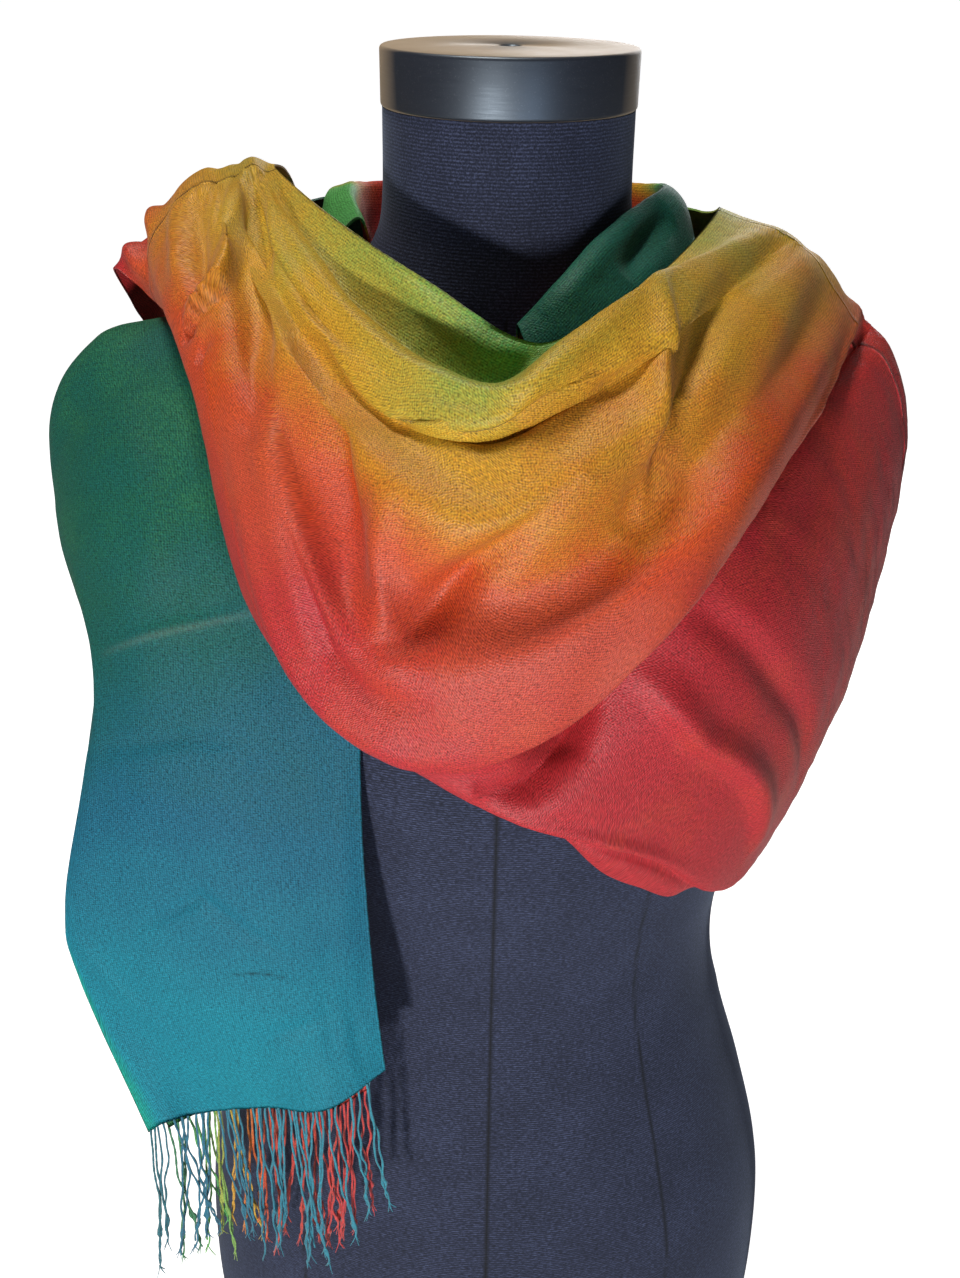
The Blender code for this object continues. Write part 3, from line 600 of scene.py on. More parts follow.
def cloth(name, sheet, surface, replaced):
    """A thin shell of cloth on a sheet."""
    grid, normal, places, dye, painted_light = sheet
    places = places.reshape(-1, 2)
    rows, columns = grid.shape[:2]
    count = rows * columns
    half = normal * SHELL / 2
    points = np.concatenate([(grid + half).reshape(-1, 3), (grid - half).reshape(-1, 3)])
    border = np.concatenate([np.arange(columns), np.arange(1, rows) * columns + columns - 1,
                             (rows - 1) * columns + np.arange(columns - 2, -1, -1),
                             np.arange(rows - 2, 0, -1) * columns])
    after = np.roll(border, -1)
    rim = np.stack([after, border, border + count, after + count], axis=1)
    faces = np.concatenate([grid_faces(rows, columns), grid_faces(rows, columns, count, True), rim])
    made = new_object(name, points, faces, surface, replaced)
    out = normal.reshape(-1, 3)
    square = points[rim]
    side = np.cross(square[:, 1] - square[:, 0], square[:, 3] - square[:, 0])
    side /= np.maximum(np.linalg.norm(side, axis=1, keepdims=True), 1e-12)
    flat = len(faces) - len(rim)
    corners = np.concatenate([np.concatenate([out, -out])[faces[:flat]].reshape(-1, 3),
                              np.repeat(side, 4, axis=0)])
    made.data.normals_split_custom_set(corners.tolist())
    write_places(made.data, np.concatenate([places, places]))
    write_values(made.data, "dye", np.concatenate([dye.ravel(), dye.ravel()]))
    write_values(made.data, "painted_light", np.concatenate([painted_light.ravel(), painted_light.ravel()]))
    return made


def sweep(path, radii, sides, twist):
    """A yarn along a path: a two-ply section that turns as it goes."""
    heading = np.gradient(path, axis=0)
    heading /= np.linalg.norm(heading, axis=1, keepdims=True)
    side = np.cross(heading, np.array([0.31, 0.95, 0.05]))
    side /= np.linalg.norm(side, axis=1, keepdims=True)
    up = np.cross(side, heading)
    travel = np.concatenate([[0], np.cumsum(np.linalg.norm(np.diff(path, axis=0), axis=1))])
    turn = np.arange(sides) * 2 * math.pi / sides
    ply = 1 + 0.24 * np.cos(2 * (turn[None, :] - twist * travel[:, None]))
    ring = (side[:, None, :] * np.cos(turn)[None, :, None]
            + up[:, None, :] * np.sin(turn)[None, :, None]) * (ply * radii[:, None])[..., None]
    points = path[:, None, :] + ring
    return points.reshape(-1, 3), ring_faces(len(path), sides)


def fringe(name, hem, out, yarn_at, seed, surface, replaced, tassels, bare=(0.0, 0.0)):
    """Knotted tassels under a hem: two legs that meet in a knot, and a frayed end."""
    turn = np.random.default_rng(seed)
    length = np.concatenate([[0], np.cumsum(np.linalg.norm(np.diff(hem, axis=0), axis=1))])
    points, faces, yarns = [], [], []
    count = 0

    def add(path, radii, yarn):
        nonlocal count
        made, quads = sweep(path, radii, STRAND_SIDES, STRAND_TWIST)
        points.append(made)
        faces.append(quads + count)
        yarns.append(np.full(len(made), yarn))
        count += len(made)

    def at_hem(place):
        place = min(max(place, 0.0), 1.0) * length[-1]
        return np.array([np.interp(place, length, hem[:, axis]) for axis in range(3)])

    for tassel in range(tassels):
        share = (tassel + 0.5 + turn.uniform(-0.42, 0.42)) / tassels
        if turn.random() < np.interp(share, (0.24, 0.30), bare):
            continue
        spread = turn.uniform(0.15, 0.42) / tassels
        reach = STRAND_LENGTH * turn.uniform(0.92, 1.30)
        knot = turn.uniform(0.70, 0.95)
        across = at_hem(share + 0.01) - at_hem(share - 0.01)
        across /= np.linalg.norm(across)
        away = np.array([np.interp(share * length[-1], length, out[:, axis]) for axis in range(3)])
        lean = turn.uniform(-0.15, 0.15)
        wave = turn.uniform(1.2, 3.4) * MM
        reach = min(reach, at_hem(share)[2] - LOWEST_STRAND)
        for leg in (-1, 1):
            root = at_hem(share + leg * spread)
            phase = turn.uniform(0, 2 * math.pi, 3)
            pace = turn.uniform(5.0, 11.0)
            t = np.linspace(0, 1, LEG_STEPS)
            apart = np.clip(1 - t / knot, 0, 1) ** 0.5
            join = np.clip(t / knot, 0, 1) ** 1.3
            base = root[None, :] * (1 - join[:, None]) + at_hem(share)[None, :] * join[:, None]
            base[:, 2] = root[2] + 1.0 * MM - reach * t
            kinks = np.sin(phase[0] + pace * t) + 0.45 * np.sin(phase[1] + 2.7 * pace * t)
            sway = (wave * kinks * np.sqrt(t) * apart + lean * reach * t ** 1.4
                    + leg * 0.7 * MM * np.cos(30 * t) * (1 - apart))
            depth = 2.0 * MM * np.sin(phase[2] + 7.0 * t) * t
            path = base + across[None, :] * sway[:, None] + away[None, :] * depth[:, None]
            path = path + away[None, :] * leg * 0.4 * MM
            bulge = 1.25 * np.exp(-((t - knot) / 0.022) ** 2)
            radii = STRAND_RADIUS * (1 + bulge) * np.where(t > knot, 0.85, 1.0)
            add(path, radii, yarn_at(share))
        tip = path[-1] + np.array([0, 0, 2.0 * MM])
        for _ in range(HAIRS):
            t = np.linspace(0, 1, HAIR_STEPS)
            fan = across * turn.uniform(-4, 4) * MM + away * turn.uniform(-2, 2) * MM
            drop = np.array([0, 0, -min(turn.uniform(5, 11) * MM, max(tip[2] - LOWEST_STRAND, MM))])
            path = tip[None, :] + fan[None, :] * t[:, None] ** 1.5 + drop[None, :] * t[:, None]
            add(path, STRAND_RADIUS * (0.6 - 0.35 * t), yarn_at(share))
    made = new_object(name, np.concatenate(points), np.concatenate(faces), surface, replaced)
    write_values(made.data, "dye", np.concatenate(yarns))
    return made


def lathe(profile, around):
    """Points and faces of a turned piece, its profile of radius and height."""
    angle = np.arange(around) * 2 * math.pi / around
    points = np.concatenate([np.stack([radius * np.cos(angle), radius * np.sin(angle),
                                       np.full(around, height)], axis=1)
                             for radius, height in profile])
    return points, ring_faces(len(profile), around)


class Nodes:
    """Short calls that add and link shader nodes."""

    def __init__(self, tree):
        self.tree = tree

    def add(self, kind, **settings):
        made = self.tree.nodes.new(kind)
        for key, value in settings.items():
            setattr(made, key, value)
        return made

    def link(self, source, target):
        self.tree.links.new(source, target)

    def feed(self, target, value):
        if isinstance(value, bpy.types.NodeSocket):
            self.link(value, target)
        else:
            target.default_value = value

    def math(self, operation, first, second=0.0):
        made = self.add("ShaderNodeMath", operation=operation)
        self.feed(made.inputs[0], first)
        self.feed(made.inputs[1], second)
        return made.outputs[0]

    def times(self, first, second):
        return self.math("MULTIPLY", first, second)

    def plus(self, first, second):
        return self.math("ADD", first, second)

    def attribute(self, name):
        return self.add("ShaderNodeAttribute", attribute_name=name).outputs["Fac"]

    def place(self):
        return self.add("ShaderNodeTexCoord").outputs["Object"]

    def ranged(self, value, low, high, to_low, to_high):
        made = self.add("ShaderNodeMapRange")
        for socket, amount in zip(made.inputs[:5], (value, low, high, to_low, to_high)):
            self.feed(socket, amount)
        return made.outputs[0]

    def stretched(self, vector, scale):
        made = self.add("ShaderNodeMapping")
        self.link(vector, made.inputs["Vector"])
        made.inputs["Scale"].default_value = scale
        return made.outputs[0]

    def split(self, vector):
        made = self.add("ShaderNodeSeparateXYZ")
        self.link(vector, made.inputs[0])
        return made.outputs

    def bumped(self, height, strength, distance, shader):
        made = self.add("ShaderNodeBump")
        made.inputs["Strength"].default_value = strength
        made.inputs["Distance"].default_value = distance
        self.link(height, made.inputs["Height"])
        self.link(made.outputs["Normal"], shader.inputs["Normal"])

    def noise(self, vector, scale, detail=2.0, roughness=0.5):
        made = self.add("ShaderNodeTexNoise")
        self.link(vector, made.inputs["Vector"])
        self.feed(made.inputs["Scale"], scale)
        made.inputs["Detail"].default_value = detail
        made.inputs["Roughness"].default_value = roughness
        return made.outputs["Fac"]

    def mixed(self, share, first, second, blend="MIX"):
        made = self.add("ShaderNodeMix", data_type="RGBA", blend_type=blend)
        self.feed(made.inputs[0], share)
        self.feed(made.inputs[6], first)
        self.feed(made.inputs[7], second)
        return made.outputs[2]

    def ramp(self, value, stops):
        made = self.add("ShaderNodeValToRGB")
        self.link(value, made.inputs["Fac"])
        elements = made.color_ramp.elements
        while len(elements) < len(stops):
            elements.new(0.5)
        for element, (place, colour) in zip(elements, stops):
            element.position = place
            element.color = (*colour, 1.0)
        return made.outputs["Color"]


def principled(name):
    """A new material, its nodes and its shader."""
    material = bpy.data.materials.new(name)
    material.use_nodes = True
    return material, Nodes(material.node_tree), material.node_tree.nodes["Principled BSDF"]


def plain_values(shader, **values):
    """Constants set on a shader's sockets, named with _ for a space."""
    for label, value in values.items():
        shader.inputs[label.replace("_", " ")].default_value = value


def node_group(name, inputs, outputs):
    tree = bpy.data.node_groups.new(name, "ShaderNodeTree")
    for label, kind, value in inputs:
        socket = tree.interface.new_socket(name=label, in_out="INPUT", socket_type=kind)
        if value is not None:
            socket.default_value = value
    for label, kind in outputs:
        tree.interface.new_socket(name=label, in_out="OUTPUT", socket_type=kind)
    nodes = Nodes(tree)
    return tree, nodes, nodes.add("NodeGroupInput"), nodes.add("NodeGroupOutput")


def dye_and_sheen_group():
    """The dye of the cloth: its number turned into a colour, clouded as hand dyeing is, with pink
    clouds between gold and red that are partly dye tone and partly painted sheen.
    """
    tree, nodes, given, made = node_group(
        "hand dye and painted sheen",
        [("Clouds", "NodeSocketFloat", 0.5), ("Thread shift", "NodeSocketFloat", 0.0)],
        [("Color", "NodeSocketColor")])
    number = nodes.attribute("dye")
    place = nodes.place()
    large = nodes.ranged(nodes.noise(place, 13.0, 2.0, 0.5), 0.3, 0.7, -1.0, 1.0)
    small = nodes.ranged(nodes.noise(place, 60.0, 3.0, 0.6), 0.3, 0.7, -1.0, 1.0)
    cloud = nodes.plus(nodes.times(large, 0.5), nodes.times(small, 0.25))
    shifted = nodes.plus(number, nodes.times(cloud, given.outputs["Clouds"]))
    threaded = nodes.plus(shifted, given.outputs["Thread shift"])
    last = len(DYES) - 1
    stops = [(index / last, colour) for index, colour in enumerate(DYES.values())]
    dyed = nodes.ramp(nodes.math("DIVIDE", nodes.plus(threaded, 1.0), float(last)), stops)
    # Painted sheen: pink clouds mixed in where the dye lies between gold and red, partly the dye's own
    # tone and partly standing for the satin's coral highlights.
    painted_sheen_clouds = nodes.ranged(nodes.noise(place, 21.0, 2.0), 0.46, 0.64, 0.0, 0.16)
    warm = nodes.times(nodes.ranged(shifted, 4.3, 4.8, 0.0, 1.0),
                       nodes.ranged(shifted, 6.0, 5.5, 0.0, 1.0))
    dye_and_painted_sheen = nodes.mixed(nodes.times(painted_sheen_clouds, warm), dyed, (0.52, 0.130, 0.080, 1.0))
    nodes.link(dye_and_painted_sheen, made.inputs["Color"])
    return tree


def weave_group():
    """A fine twill: warp and weft threads of their own shades, slubs, and the height of it all."""
    tree, nodes, given, made = node_group(
        "fine twill",
        [("Threads per metre", "NodeSocketFloat", 860.0), ("Slubs", "NodeSocketFloat", 1.0)],
        [("Shade", "NodeSocketFloat"), ("Height", "NodeSocketFloat"), ("Shift", "NodeSocketFloat")])
    place = nodes.add("ShaderNodeUVMap", uv_map="weave").outputs["UV"]
    parts = nodes.split(place)
    fine = given.outputs["Threads per metre"]
    turns = nodes.times(fine, 2 * math.pi)
    waver = nodes.times(nodes.noise(place, 130.0, 2.0), 5.0)

    def threads(along, over, share):
        line = nodes.plus(nodes.times(parts[0], along), nodes.times(parts[1], over))
        wave = nodes.math("SINE", nodes.plus(nodes.times(line, turns), waver))
        return nodes.times(wave, share)

    warp = nodes.noise(nodes.stretched(place, (0.45, 1.0, 1.0)), nodes.times(fine, 1.5), 1.0)
    weft = nodes.noise(nodes.stretched(place, (1.0, 0.45, 1.0)), nodes.times(fine, 1.5), 1.0)
    slub = nodes.noise(nodes.stretched(place, (110.0, 900.0, 1.0)), 1.0, 2.0, 0.6)
    uneven = nodes.times(nodes.math("SUBTRACT", nodes.plus(warp, weft), 1.0), 1.5)
    rows = nodes.plus(threads(0.0, 1.0, 0.20), threads(1.0, 0.0, 0.13))
    woven = nodes.plus(uneven, nodes.plus(rows, threads(0.7, 0.7, 0.12)))
    streak = nodes.ranged(slub, 0.58, 0.78, 0.0, 0.40)
    shade = nodes.math("SUBTRACT", woven, nodes.times(streak, given.outputs["Slubs"]))
    nodes.link(shade, made.inputs["Shade"])
    nodes.link(woven, made.inputs["Height"])
    nodes.link(nodes.math("SUBTRACT", warp, weft), made.inputs["Shift"])
    return tree


def twill_material(name, clouds, rough, gloss, sheen, tint, groups):
    """Soft sheen twill in the dye of each place, with pale lines of painted highlight and dark lines
    of painted shade laid over it.
    """
    material, nodes, shader = principled(name)
    weave = nodes.add("ShaderNodeGroup", node_tree=groups["weave"])
    dye = nodes.add("ShaderNodeGroup", node_tree=groups["dye"])
    dye.inputs["Clouds"].default_value = clouds
    nodes.link(nodes.times(weave.outputs["Shift"], 0.4), dye.inputs["Thread shift"])
    light = nodes.ranged(weave.outputs["Shade"], -0.8, 0.8, 0.34, 1.56)
    shaded = nodes.mixed(1.0, dye.outputs["Color"], light, "MULTIPLY")
    # Painted highlight: the pale lines screen a warm pale colour over the cloth. Painted shade: the
    # dark lines multiply it towards black.
    painted_light = nodes.attribute("painted_light")
    painted_highlight = nodes.mixed(nodes.ranged(painted_light, 0.0, 1.0, 0.0, 0.75), shaded,
                        (0.50, 0.46, 0.36, 1.0), "SCREEN")
    with_painted_shade = nodes.mixed(nodes.ranged(painted_light, 0.0, -1.0, 0.0, 0.9), painted_highlight,
                         (0.10, 0.09, 0.08, 1.0), "MULTIPLY")
    nodes.link(with_painted_shade, shader.inputs["Base Color"])
    nodes.bumped(weave.outputs["Height"], 0.6, 0.22 * MM, shader)
    nodes.link(nodes.ranged(weave.outputs["Shade"], -0.8, 0.8, rough + 0.14, rough - 0.06),
               shader.inputs["Roughness"])
    plain_values(shader, Specular_IOR_Level=gloss, Sheen_Weight=sheen, Sheen_Roughness=0.4,
                 Sheen_Tint=(*tint, 1.0))
    return material


def yarn_material(name, groups):
    """Twisted yarn in the dye of the hem that it hangs from."""
    material, nodes, shader = principled(name)
    dye = nodes.add("ShaderNodeGroup", node_tree=groups["dye"])
    dye.inputs["Clouds"].default_value = 0.3
    place = nodes.place()
    fleck = nodes.ranged(nodes.noise(place, 900.0, 2.0), 0.3, 0.7, 0.7, 1.5)
    nodes.link(nodes.mixed(1.0, dye.outputs["Color"], fleck, "MULTIPLY"), shader.inputs["Base Color"])
    plain_values(shader, Roughness=0.6, Sheen_Weight=0.2)
    return material


def jersey_material():
    """Navy black knit with paler flecks, its courses running round the form."""
    material, nodes, shader = principled("navy jersey knit")
    place = nodes.add("ShaderNodeUVMap", uv_map="weave").outputs["UV"]
    bend = nodes.times(nodes.noise(place, 30.0, 2.0), 4.0)
    turn = nodes.times(nodes.split(place)[1], 2 * math.pi * 700)
    course = nodes.math("SINE", nodes.plus(turn, bend))
    stitch = nodes.noise(nodes.stretched(place, (520.0, 1150.0, 1.0)), 1.0, 2.0, 0.6)
    fleck = nodes.noise(nodes.stretched(place, (240.0, 900.0, 1.0)), 1.0, 3.0, 0.65)
    patch = nodes.noise(place, 26.0, 2.0)
    knit = nodes.plus(nodes.times(course, 0.12), stitch)
    flecks = nodes.plus(nodes.times(fleck, 0.55), nodes.times(patch, 0.15))
    fine = nodes.plus(nodes.times(knit, 0.75), flecks)
    seam = nodes.attribute("seam")
    colour = nodes.ramp(fine, [(0.45, (0.0030, 0.0038, 0.0090)), (0.72, (0.0125, 0.0160, 0.0360)),
                               (1.0, (0.060, 0.074, 0.145))])
    nodes.link(nodes.mixed(seam, colour, (0.0030, 0.0034, 0.0060, 1.0)), shader.inputs["Base Color"])
    nodes.bumped(nodes.plus(knit, fleck), 0.6, 0.3 * MM, shader)
    plain_values(shader, Roughness=0.85, Specular_IOR_Level=0.3, Sheen_Weight=0.14,
                 Sheen_Roughness=0.45, Sheen_Tint=(0.60, 0.72, 1.0, 1.0))
    return material


def cap_material():
    """Satin black plastic with fine scuffs and dust, and a painted tan reflection where it is seen at
    a low angle.
    """
    material, nodes, shader = principled("satin black plastic")
    place = nodes.place()
    scuff = nodes.noise(nodes.stretched(place, (60.0, 60.0, 1400.0)), 1.0, 4.0, 0.7)
    dust = nodes.noise(place, 1500.0, 2.0, 0.7)
    plain = nodes.ramp(dust, [(0.60, (0.010, 0.011, 0.018)), (0.78, (0.06, 0.06, 0.07))])
    # Painted reflection: at grazing angles the colour turns tan, standing for the warm room mirrored
    # in the cap's top and edges.
    grazing = nodes.add("ShaderNodeLayerWeight")
    grazing.inputs["Blend"].default_value = 0.5
    painted_reflection = nodes.ranged(grazing.outputs["Facing"], 0.52, 0.92, 0.0, 1.0)
    nodes.link(nodes.mixed(painted_reflection, plain, (0.40, 0.30, 0.20, 1.0)), shader.inputs["Base Color"])
    nodes.link(nodes.ranged(scuff, 0.3, 0.7, 0.40, 0.50), shader.inputs["Roughness"])
    plain_values(shader, Specular_IOR_Level=1.0, Specular_Tint=(0.70, 0.84, 1.0, 1.0))
    nodes.bumped(scuff, 0.15, 0.05 * MM, shader)
    return material


def dress_form(jersey, plastic):
    """The jersey covered torso and its neck cap."""
    around = FORM_AROUND
    heights = np.concatenate([np.linspace(0, 0.64, 90), np.linspace(0.644, CAP_UNDERSIDE, 80)])
    sizes = form_half_sizes(heights)
    angle = np.arange(around) * 2 * math.pi / around
    grid = []
    for height, (half, front, behind) in zip(heights, sizes):
        depth = np.where(np.sin(angle) < 0, front, behind)
        grid.append(np.stack([half * np.cos(angle), depth * np.sin(angle),
                              np.full(around, height)], axis=1))
    grid = np.stack(grid)
    points = grid.reshape(-1, 3)
    faces = ring_faces(len(heights), around).tolist()
    points = np.concatenate([points, grid[0]])
    faces.append([len(points) - 1 - step for step in range(around)])
    body = new_object("form_jersey", points, faces, jersey, ["form_body"])
    places = np.stack([np.broadcast_to(angle[None, :] * MEAN_RADIUS, grid.shape[:2]),
                       grid[..., 2]], axis=2).reshape(-1, 2)
    places = np.concatenate([places, grid[0, :, :2]])
    write_places(body.data, places)
    seam = np.zeros(grid.shape[:2])
    for share in (0.0, 0.62, -0.62):
        across = np.interp(grid[..., 2], [0, 0.20, 0.35, 0.5, 0.7], [0.9, 1.0, 1.0, 0.9, 0.8]) * share
        half = np.interp(grid[..., 2], heights, sizes[:, 0])
        seam += np.exp(-((grid[..., 0] - across * half) / (0.7 * MM)) ** 2) * (grid[..., 2] < 0.76)
    seam = np.clip(seam, 0, 1).ravel()
    write_values(body.data, "seam", np.concatenate([seam, np.zeros(around)]))

    bend = np.linspace(0, math.pi / 2, 6)
    low = [(CAP_RADIUS - CAP_ROUND + CAP_ROUND * math.sin(turn),
            CAP_UNDERSIDE + CAP_ROUND - CAP_ROUND * math.cos(turn)) for turn in bend]
    high = [(CAP_RADIUS - CAP_ROUND + CAP_ROUND * math.cos(turn),
             CAP_TOP - CAP_ROUND + CAP_ROUND * math.sin(turn)) for turn in bend]
    profile = ([(NECK_RADIUS - 2 * MM, CAP_UNDERSIDE)] + low + high
               + [(CAP_HOLE_RADIUS + MM, CAP_TOP), (CAP_HOLE_RADIUS, CAP_TOP - MM),
                  (CAP_HOLE_RADIUS, CAP_TOP - CAP_HOLE_DEPTH), (0.02 * MM, CAP_TOP - CAP_HOLE_DEPTH)])
    points, faces = lathe(profile, CAP_AROUND)
    new_object("neck_cap", points, faces, plastic, ["form_neck_cap"])


def hem_lens(grid, along, across):
    """Lower the turned hem at the right of the chest, so that its inner layer shows below it."""
    reach = np.exp(-((along[None, :] - 10.05) / 0.42) ** 4)
    turned = np.clip((across - 13.2) / 0.8, 0, 1) * np.clip((15.6 - across) / 1.0, 0, 1)
    grid[..., 2] -= 21 * MM * reach * turned[:, None]
    grid[..., 1] += 3 * MM * reach * turned[:, None]
    return grid


def lift_of(grid, along, across, table, creases, folds):
    """How far the listed creases and small wrinkles (size, depth and seed) lift a sheet."""
    rise = line_strength(grid, along, across, table, creases) * MM
    for size, depth, seed in folds:
        rise = rise + wrinkle_heights(grid, size * MM, depth * MM, seed)
    return rise


def cloth_tables():
    """Tables of the strip and of the tail, and the strip's columns where the front has its ends."""
    front = table_of(FRONT_LINES)
    lines = len(FRONT_LINES)
    throw = bowed_sections(THROW_SECTIONS, lines)
    back = bowed_sections(BACK_SECTIONS, lines)
    tail_lines = table_of(TAIL_LINES)
    after = surface_points(tail_lines, [0], np.linspace(0, len(tail_lines) - 1, lines))
    strip = np.concatenate([throw, front, back, after], axis=1)
    joined = bowed_sections({"left side": BACK_SECTIONS["left side"]}, len(TAIL_LINES))
    before = surface_points(back, [back.shape[1] - 2], np.linspace(0, lines - 1, len(TAIL_LINES)))
    tail = np.concatenate([before, joined, tail_lines], axis=1)
    left_end = throw.shape[1]
    return strip, tail, (left_end, left_end + front.shape[1] - 1)


def tail_sheet(table):
    """The tail in front, from under the back stretch down to its hem."""
    along = np.linspace(1 - 9 / (TAIL_STEPS - 2), 10, TAIL_STEPS)
    across = np.linspace(0, 5, TAIL_ROWS)
    tail = surface_points(table, along, across)
    rise = lift_of(tail, along, across, table, TAIL_CREASES, ((30, 0.6, 3), (9, 0.15, 4)))
    rise = rise + pucker_heights(thread_places(tail)[..., ::-1], along, across, TAIL_PUCKERS)
    # Painted highlight and painted shade lines along the tail's creases.
    painted_light = line_strength(tail, along, across, table, TAIL_PAINTED_LIGHT_LINES)
    tail = clear_of_form(tail + normals_of(tail) * rise[..., None], RESTING)
    return sheet_of(tail, dye_values(TAIL_DYE_ALONG, TAIL_DYE_ROWS, along, across), painted_light)


def inner_sheet(table):
    """The layer folded behind the tail, bowed away from it and a little longer."""
    along = np.linspace(6.3, 10, INNER_STEPS)
    across = np.linspace(0.25, 4.1, INNER_ROWS)
    inner = surface_points(table, along, across)
    share = np.sin(np.linspace(0, math.pi, len(across)))[:, None, None]
    inner = inner - normals_of(inner) * (2.2 * MM + 8 * MM * share)
    inner[..., 2] -= 7 * MM * np.linspace(0, 1, len(along))[None, :] ** 4
    dye = np.interp(across, [0.25, 1.6, 2.6, 3.4, 4.1], [5.9, 5.4, 4.4, 3.2, 2.4])
    dye = np.repeat(dye[:, None], len(along), axis=1)
    return sheet_of(clear_of_form(inner, RESTING), dye, np.zeros_like(dye))


def roll_sheet():
    """The upper edge rolled round the neck, down to its low line inside."""
    columns = []
    for crest, slope, foot in ROLL_SECTIONS.values():
        flat = np.array([crest[0], crest[1], 0.0])
        inward = flat / np.linalg.norm(flat)
        inside = flat - inward * 4 + np.array([0, 0, crest[2] - 8.0])
        low = flat - inward * 8 + np.array([0, 0, crest[2] - 26.0])
        columns.append(np.array([low, inside, crest, slope, foot], dtype=float))
    table = np.stack(columns, axis=1) * MM
    along = np.linspace(0, 9, ROLL_STEPS)
    across = np.linspace(0, 4, ROLL_ROWS)
    roll = surface_points(table, along, across)
    rise = lift_of(roll, along, across, table, ROLL_CREASES, ((12, 0.5, 5),))
    roll = clear_of_form(roll + normals_of(roll) * rise[..., None], RESTING + 0.5 * MM)
    dye = np.interp(along, [0, 4, 5.5, 7, 8, 9], [2.0, 2.0, 5.6, 5.8, 2.9, 2.8])[None, :]
    dye = dye.repeat(len(across), axis=0)
    inside = np.clip(1.6 - across, 0, 1)[:, None]
    dye = dye * (1 - inside) + 5.9 * inside
    return sheet_of(roll, dye, np.zeros_like(dye))


def strip_sheet(table, front_ends, tail):
    """The strip from the thrown end's hem to the left side of the back, clear of what is under it.

    Also the grid columns at which the front and the back start, and at which the back ends.
    """
    left_end, right_end = front_ends
    last = table.shape[1] - 2
    along = np.concatenate([np.linspace(0, left_end, THROW_STEPS),
                            np.linspace(left_end, right_end, FRONT_STEPS)[1:],
                            np.linspace(right_end, last, BACK_STEPS)[1:], [last + 0.03]])
    across = np.linspace(0, len(table) - 1, STRIP_ROWS)
    whole = hem_lens(surface_points(table, along, across), along, across)
    rise = lift_of(whole, along, across, table, STRIP_CREASES, ((22, 0.5, 1), (8, 0.16, 2)))
    rise = rise + pucker_heights(thread_places(whole), along, across, STRIP_PUCKERS)
    whole = whole + normals_of(whole) * rise[..., None]
    # Painted highlight and painted shade lines along the strip's creases.
    painted_light = line_strength(whole, along, across, table, STRIP_PAINTED_LIGHT_LINES)
    first = THROW_STEPS - 1
    second = first + FRONT_STEPS - 1
    end = second + BACK_STEPS - 1
    whole = clear_of_form(whole, RESTING)
    whole[:, :second + 1] = clear_of_sheet(whole[:, :second + 1], outer_face(tail, SHELL / 2),
                                           LAYER_GAP, LAYER_REACH)
    under = outer_face(whole[:, second:], SHELL / 2)
    whole[:, :first + 1] = clear_of_sheet(whole[:, :first + 1], under, LAYER_GAP, LAYER_REACH)
    dye = dye_values(DYE_ALONG, DYE_ROWS, along, across)
    return sheet_of(whole, dye, painted_light), (first, second, end)


def shawl(twill, tail_twill, collar_twill, yarn):
    """The cloth and its fringes."""
    strip_table, tail_table, front_ends = cloth_tables()
    tail = tail_sheet(tail_table)
    inner = inner_sheet(tail_table)
    roll = roll_sheet()
    strip, (first, second, end) = strip_sheet(strip_table, front_ends, tail[0])
    back = cut(strip, second, end + 1)
    front = cut(strip, first, second + 1)
    throw = cut(strip, 0, first + 1)

    tail_made = cloth("shawl_tail_front", cut(tail, 1, TAIL_STEPS), tail_twill,
                      ["shawl_tail"])
    inner_made = cloth("shawl_tail_behind", inner, twill, ["shawl_tail_inner"])
    roll_made = cloth("shawl_collar_roll", roll, collar_twill, ["shawl_neck_roll"])
    back_made = cloth("shawl_across_back", back, twill, ["shawl_back_drape"])
    front_made = cloth("shawl_across_chest", front, twill, ["shawl_front_drape"])
    throw_made = cloth("shawl_thrown_end", throw, twill, ["shawl_shoulder_throw"])

    teal = fringe("tail_front_fringe", tail[0][:, -1], tail[1][:, -1],
                  lambda share: 0.3 + 1.2 * share ** 3, 3, yarn, ["tail_fringe"],
                  24, (0.45, 0.06))
    mixed = fringe("tail_behind_fringe", inner[0][:, -1], inner[1][:, -1],
                   lambda share: float(np.interp(share, [0, 0.5, 0.68, 0.82, 1],
                                                 [6.0, 5.6, 4.3, 3.2, 2.2])),
                   4, yarn, ["tail_inner_fringe"], 24)
    thrown = fringe("thrown_end_fringe", strip[0][:, 0], strip[1][:, 0],
                    lambda share: 3.4 + 2.6 * share, 5, yarn, ["throw_fringe"], 26)


def camera():
    """A lens and place fitted to the cap, neck, waist and hips of the photograph."""
    ahead = Vector((0, math.cos(CAMERA_TILT), -math.sin(CAMERA_TILT)))
    right = Vector((1, 0, 0))
    up = right.cross(ahead)
    across = right * math.cos(CAMERA_ROLL) + up * math.sin(CAMERA_ROLL)
    upward = -right * math.sin(CAMERA_ROLL) + up * math.cos(CAMERA_ROLL)
    data = bpy.data.cameras.new("camera")
    data.lens = LENS
    data.sensor_width = LENS
    made = bpy.data.objects.new("camera", data)
    made.matrix_world = Matrix((across, upward, -ahead)).transposed().to_4x4()
    made.matrix_world.translation = Vector(CAMERA_PLACE)
    bpy.context.scene.collection.objects.link(made)
    bpy.context.scene.camera = made


def lamp(name, place, target, size, power, colour):
    data = bpy.data.lights.new(name, "AREA")
    data.shape = "DISK"
    data.size = size
    data.energy = power
    data.color = colour
    made = bpy.data.objects.new(name, data)
    made.location = place
    made.rotation_euler = (Vector(target) - Vector(place)).to_track_quat("-Z", "Y").to_euler()
    bpy.context.scene.collection.objects.link(made)


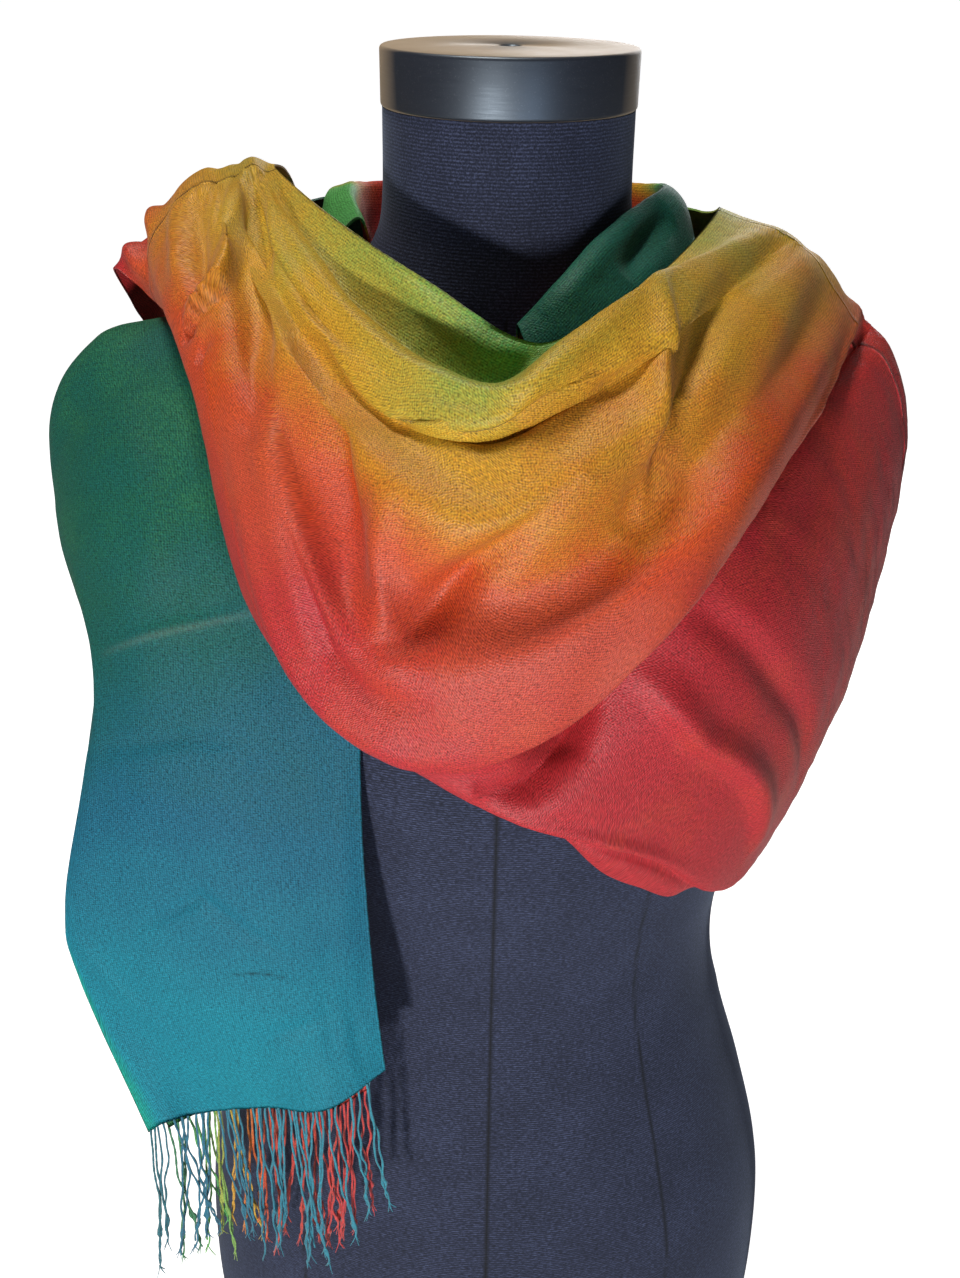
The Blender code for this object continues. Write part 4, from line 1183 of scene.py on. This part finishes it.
def studio():
    """A pale floor, a low key from the front left and soft light from above, right and behind."""
    scene = bpy.context.scene
    world = bpy.data.worlds.new("studio")
    world.use_nodes = True
    sky = Nodes(world.node_tree)
    background = world.node_tree.nodes["Background"]
    way = sky.split(sky.add("ShaderNodeTexCoord").outputs["Generated"])
    behind = sky.times(sky.ranged(way[1], 0.80, 0.97, 0.0, 1.0),
                       sky.ranged(way[2], 0.30, 0.12, 0.0, 1.0))
    sky.link(sky.mixed(behind, (1.0, 0.99, 0.97, 1.0), (4.4, 3.1, 1.9, 1.0)),
             background.inputs["Color"])
    looked_at = sky.add("ShaderNodeLightPath").outputs["Is Camera Ray"]
    sky.link(sky.ranged(looked_at, 0.0, 1.0, *SKY_LIGHT), background.inputs["Strength"])
    scene.world = world
    scene.view_settings.view_transform = "Standard"

    material, nodes, shader = principled("pale floor")
    place = nodes.place()
    greys = [(0.3, (0.58, 0.58, 0.58)), (0.7, (0.62, 0.62, 0.62))]
    nodes.link(nodes.ramp(nodes.noise(place, 2.0), greys), shader.inputs["Base Color"])
    plain_values(shader, Roughness=0.9, Emission_Color=(1.0, 1.0, 1.0, 1.0))
    seen = nodes.add("ShaderNodeLightPath").outputs["Is Camera Ray"]
    nodes.link(nodes.ranged(seen, 0.0, 1.0, *FLOOR_LIGHT), shader.inputs["Emission Strength"])
    mesh = bpy.data.meshes.new("floor")
    corners = [(x * FLOOR_HALF, y * FLOOR_HALF, 0) for x, y in ((-1, -1), (1, -1), (1, 1), (-1, 1))]
    mesh.from_pydata(corners, [], [(0, 1, 2, 3)])
    mesh.materials.append(material)
    floor = bpy.data.objects.new("floor", mesh)
    scene.collection.objects.link(floor)

    lamp("key", (-0.44, -1.57, 0.32), (0, 0, 0.66), 0.16, 23, (1.0, 0.985, 0.95))
    lamp("overhead", (-0.30, 0.0, 2.3), (0, 0, 0.6), 0.4, 21, (1.0, 0.95, 0.86))
    lamp("fill", (0.65, -1.9, 0.30), (0, 0, 0.50), 0.6, 9, (0.68, 0.82, 1.0))
    lamp("back", (0.6, 1.9, 1.1), (0, 0, 0.5), 1.2, 12, (0.95, 0.97, 1.0))


camera()
groups = {"dye": dye_and_sheen_group(), "weave": weave_group()}
twill = twill_material("dyed twill", 0.40, 0.48, 0.32, 0.07, (1.0, 0.74, 0.70), groups)
tail_twill = twill_material("blue green dyed twill", 0.25, 0.54, 0.14, 0.03, (0.45, 0.95, 1.0), groups)
collar_twill = twill_material("dark green twill", 0.10, 0.52, 0.2, 0.05, (0.7, 1.0, 0.85), groups)
yarn = yarn_material("dyed yarn", groups)
dress_form(jersey_material(), cap_material())
shawl(twill, tail_twill, collar_twill, yarn)
studio()
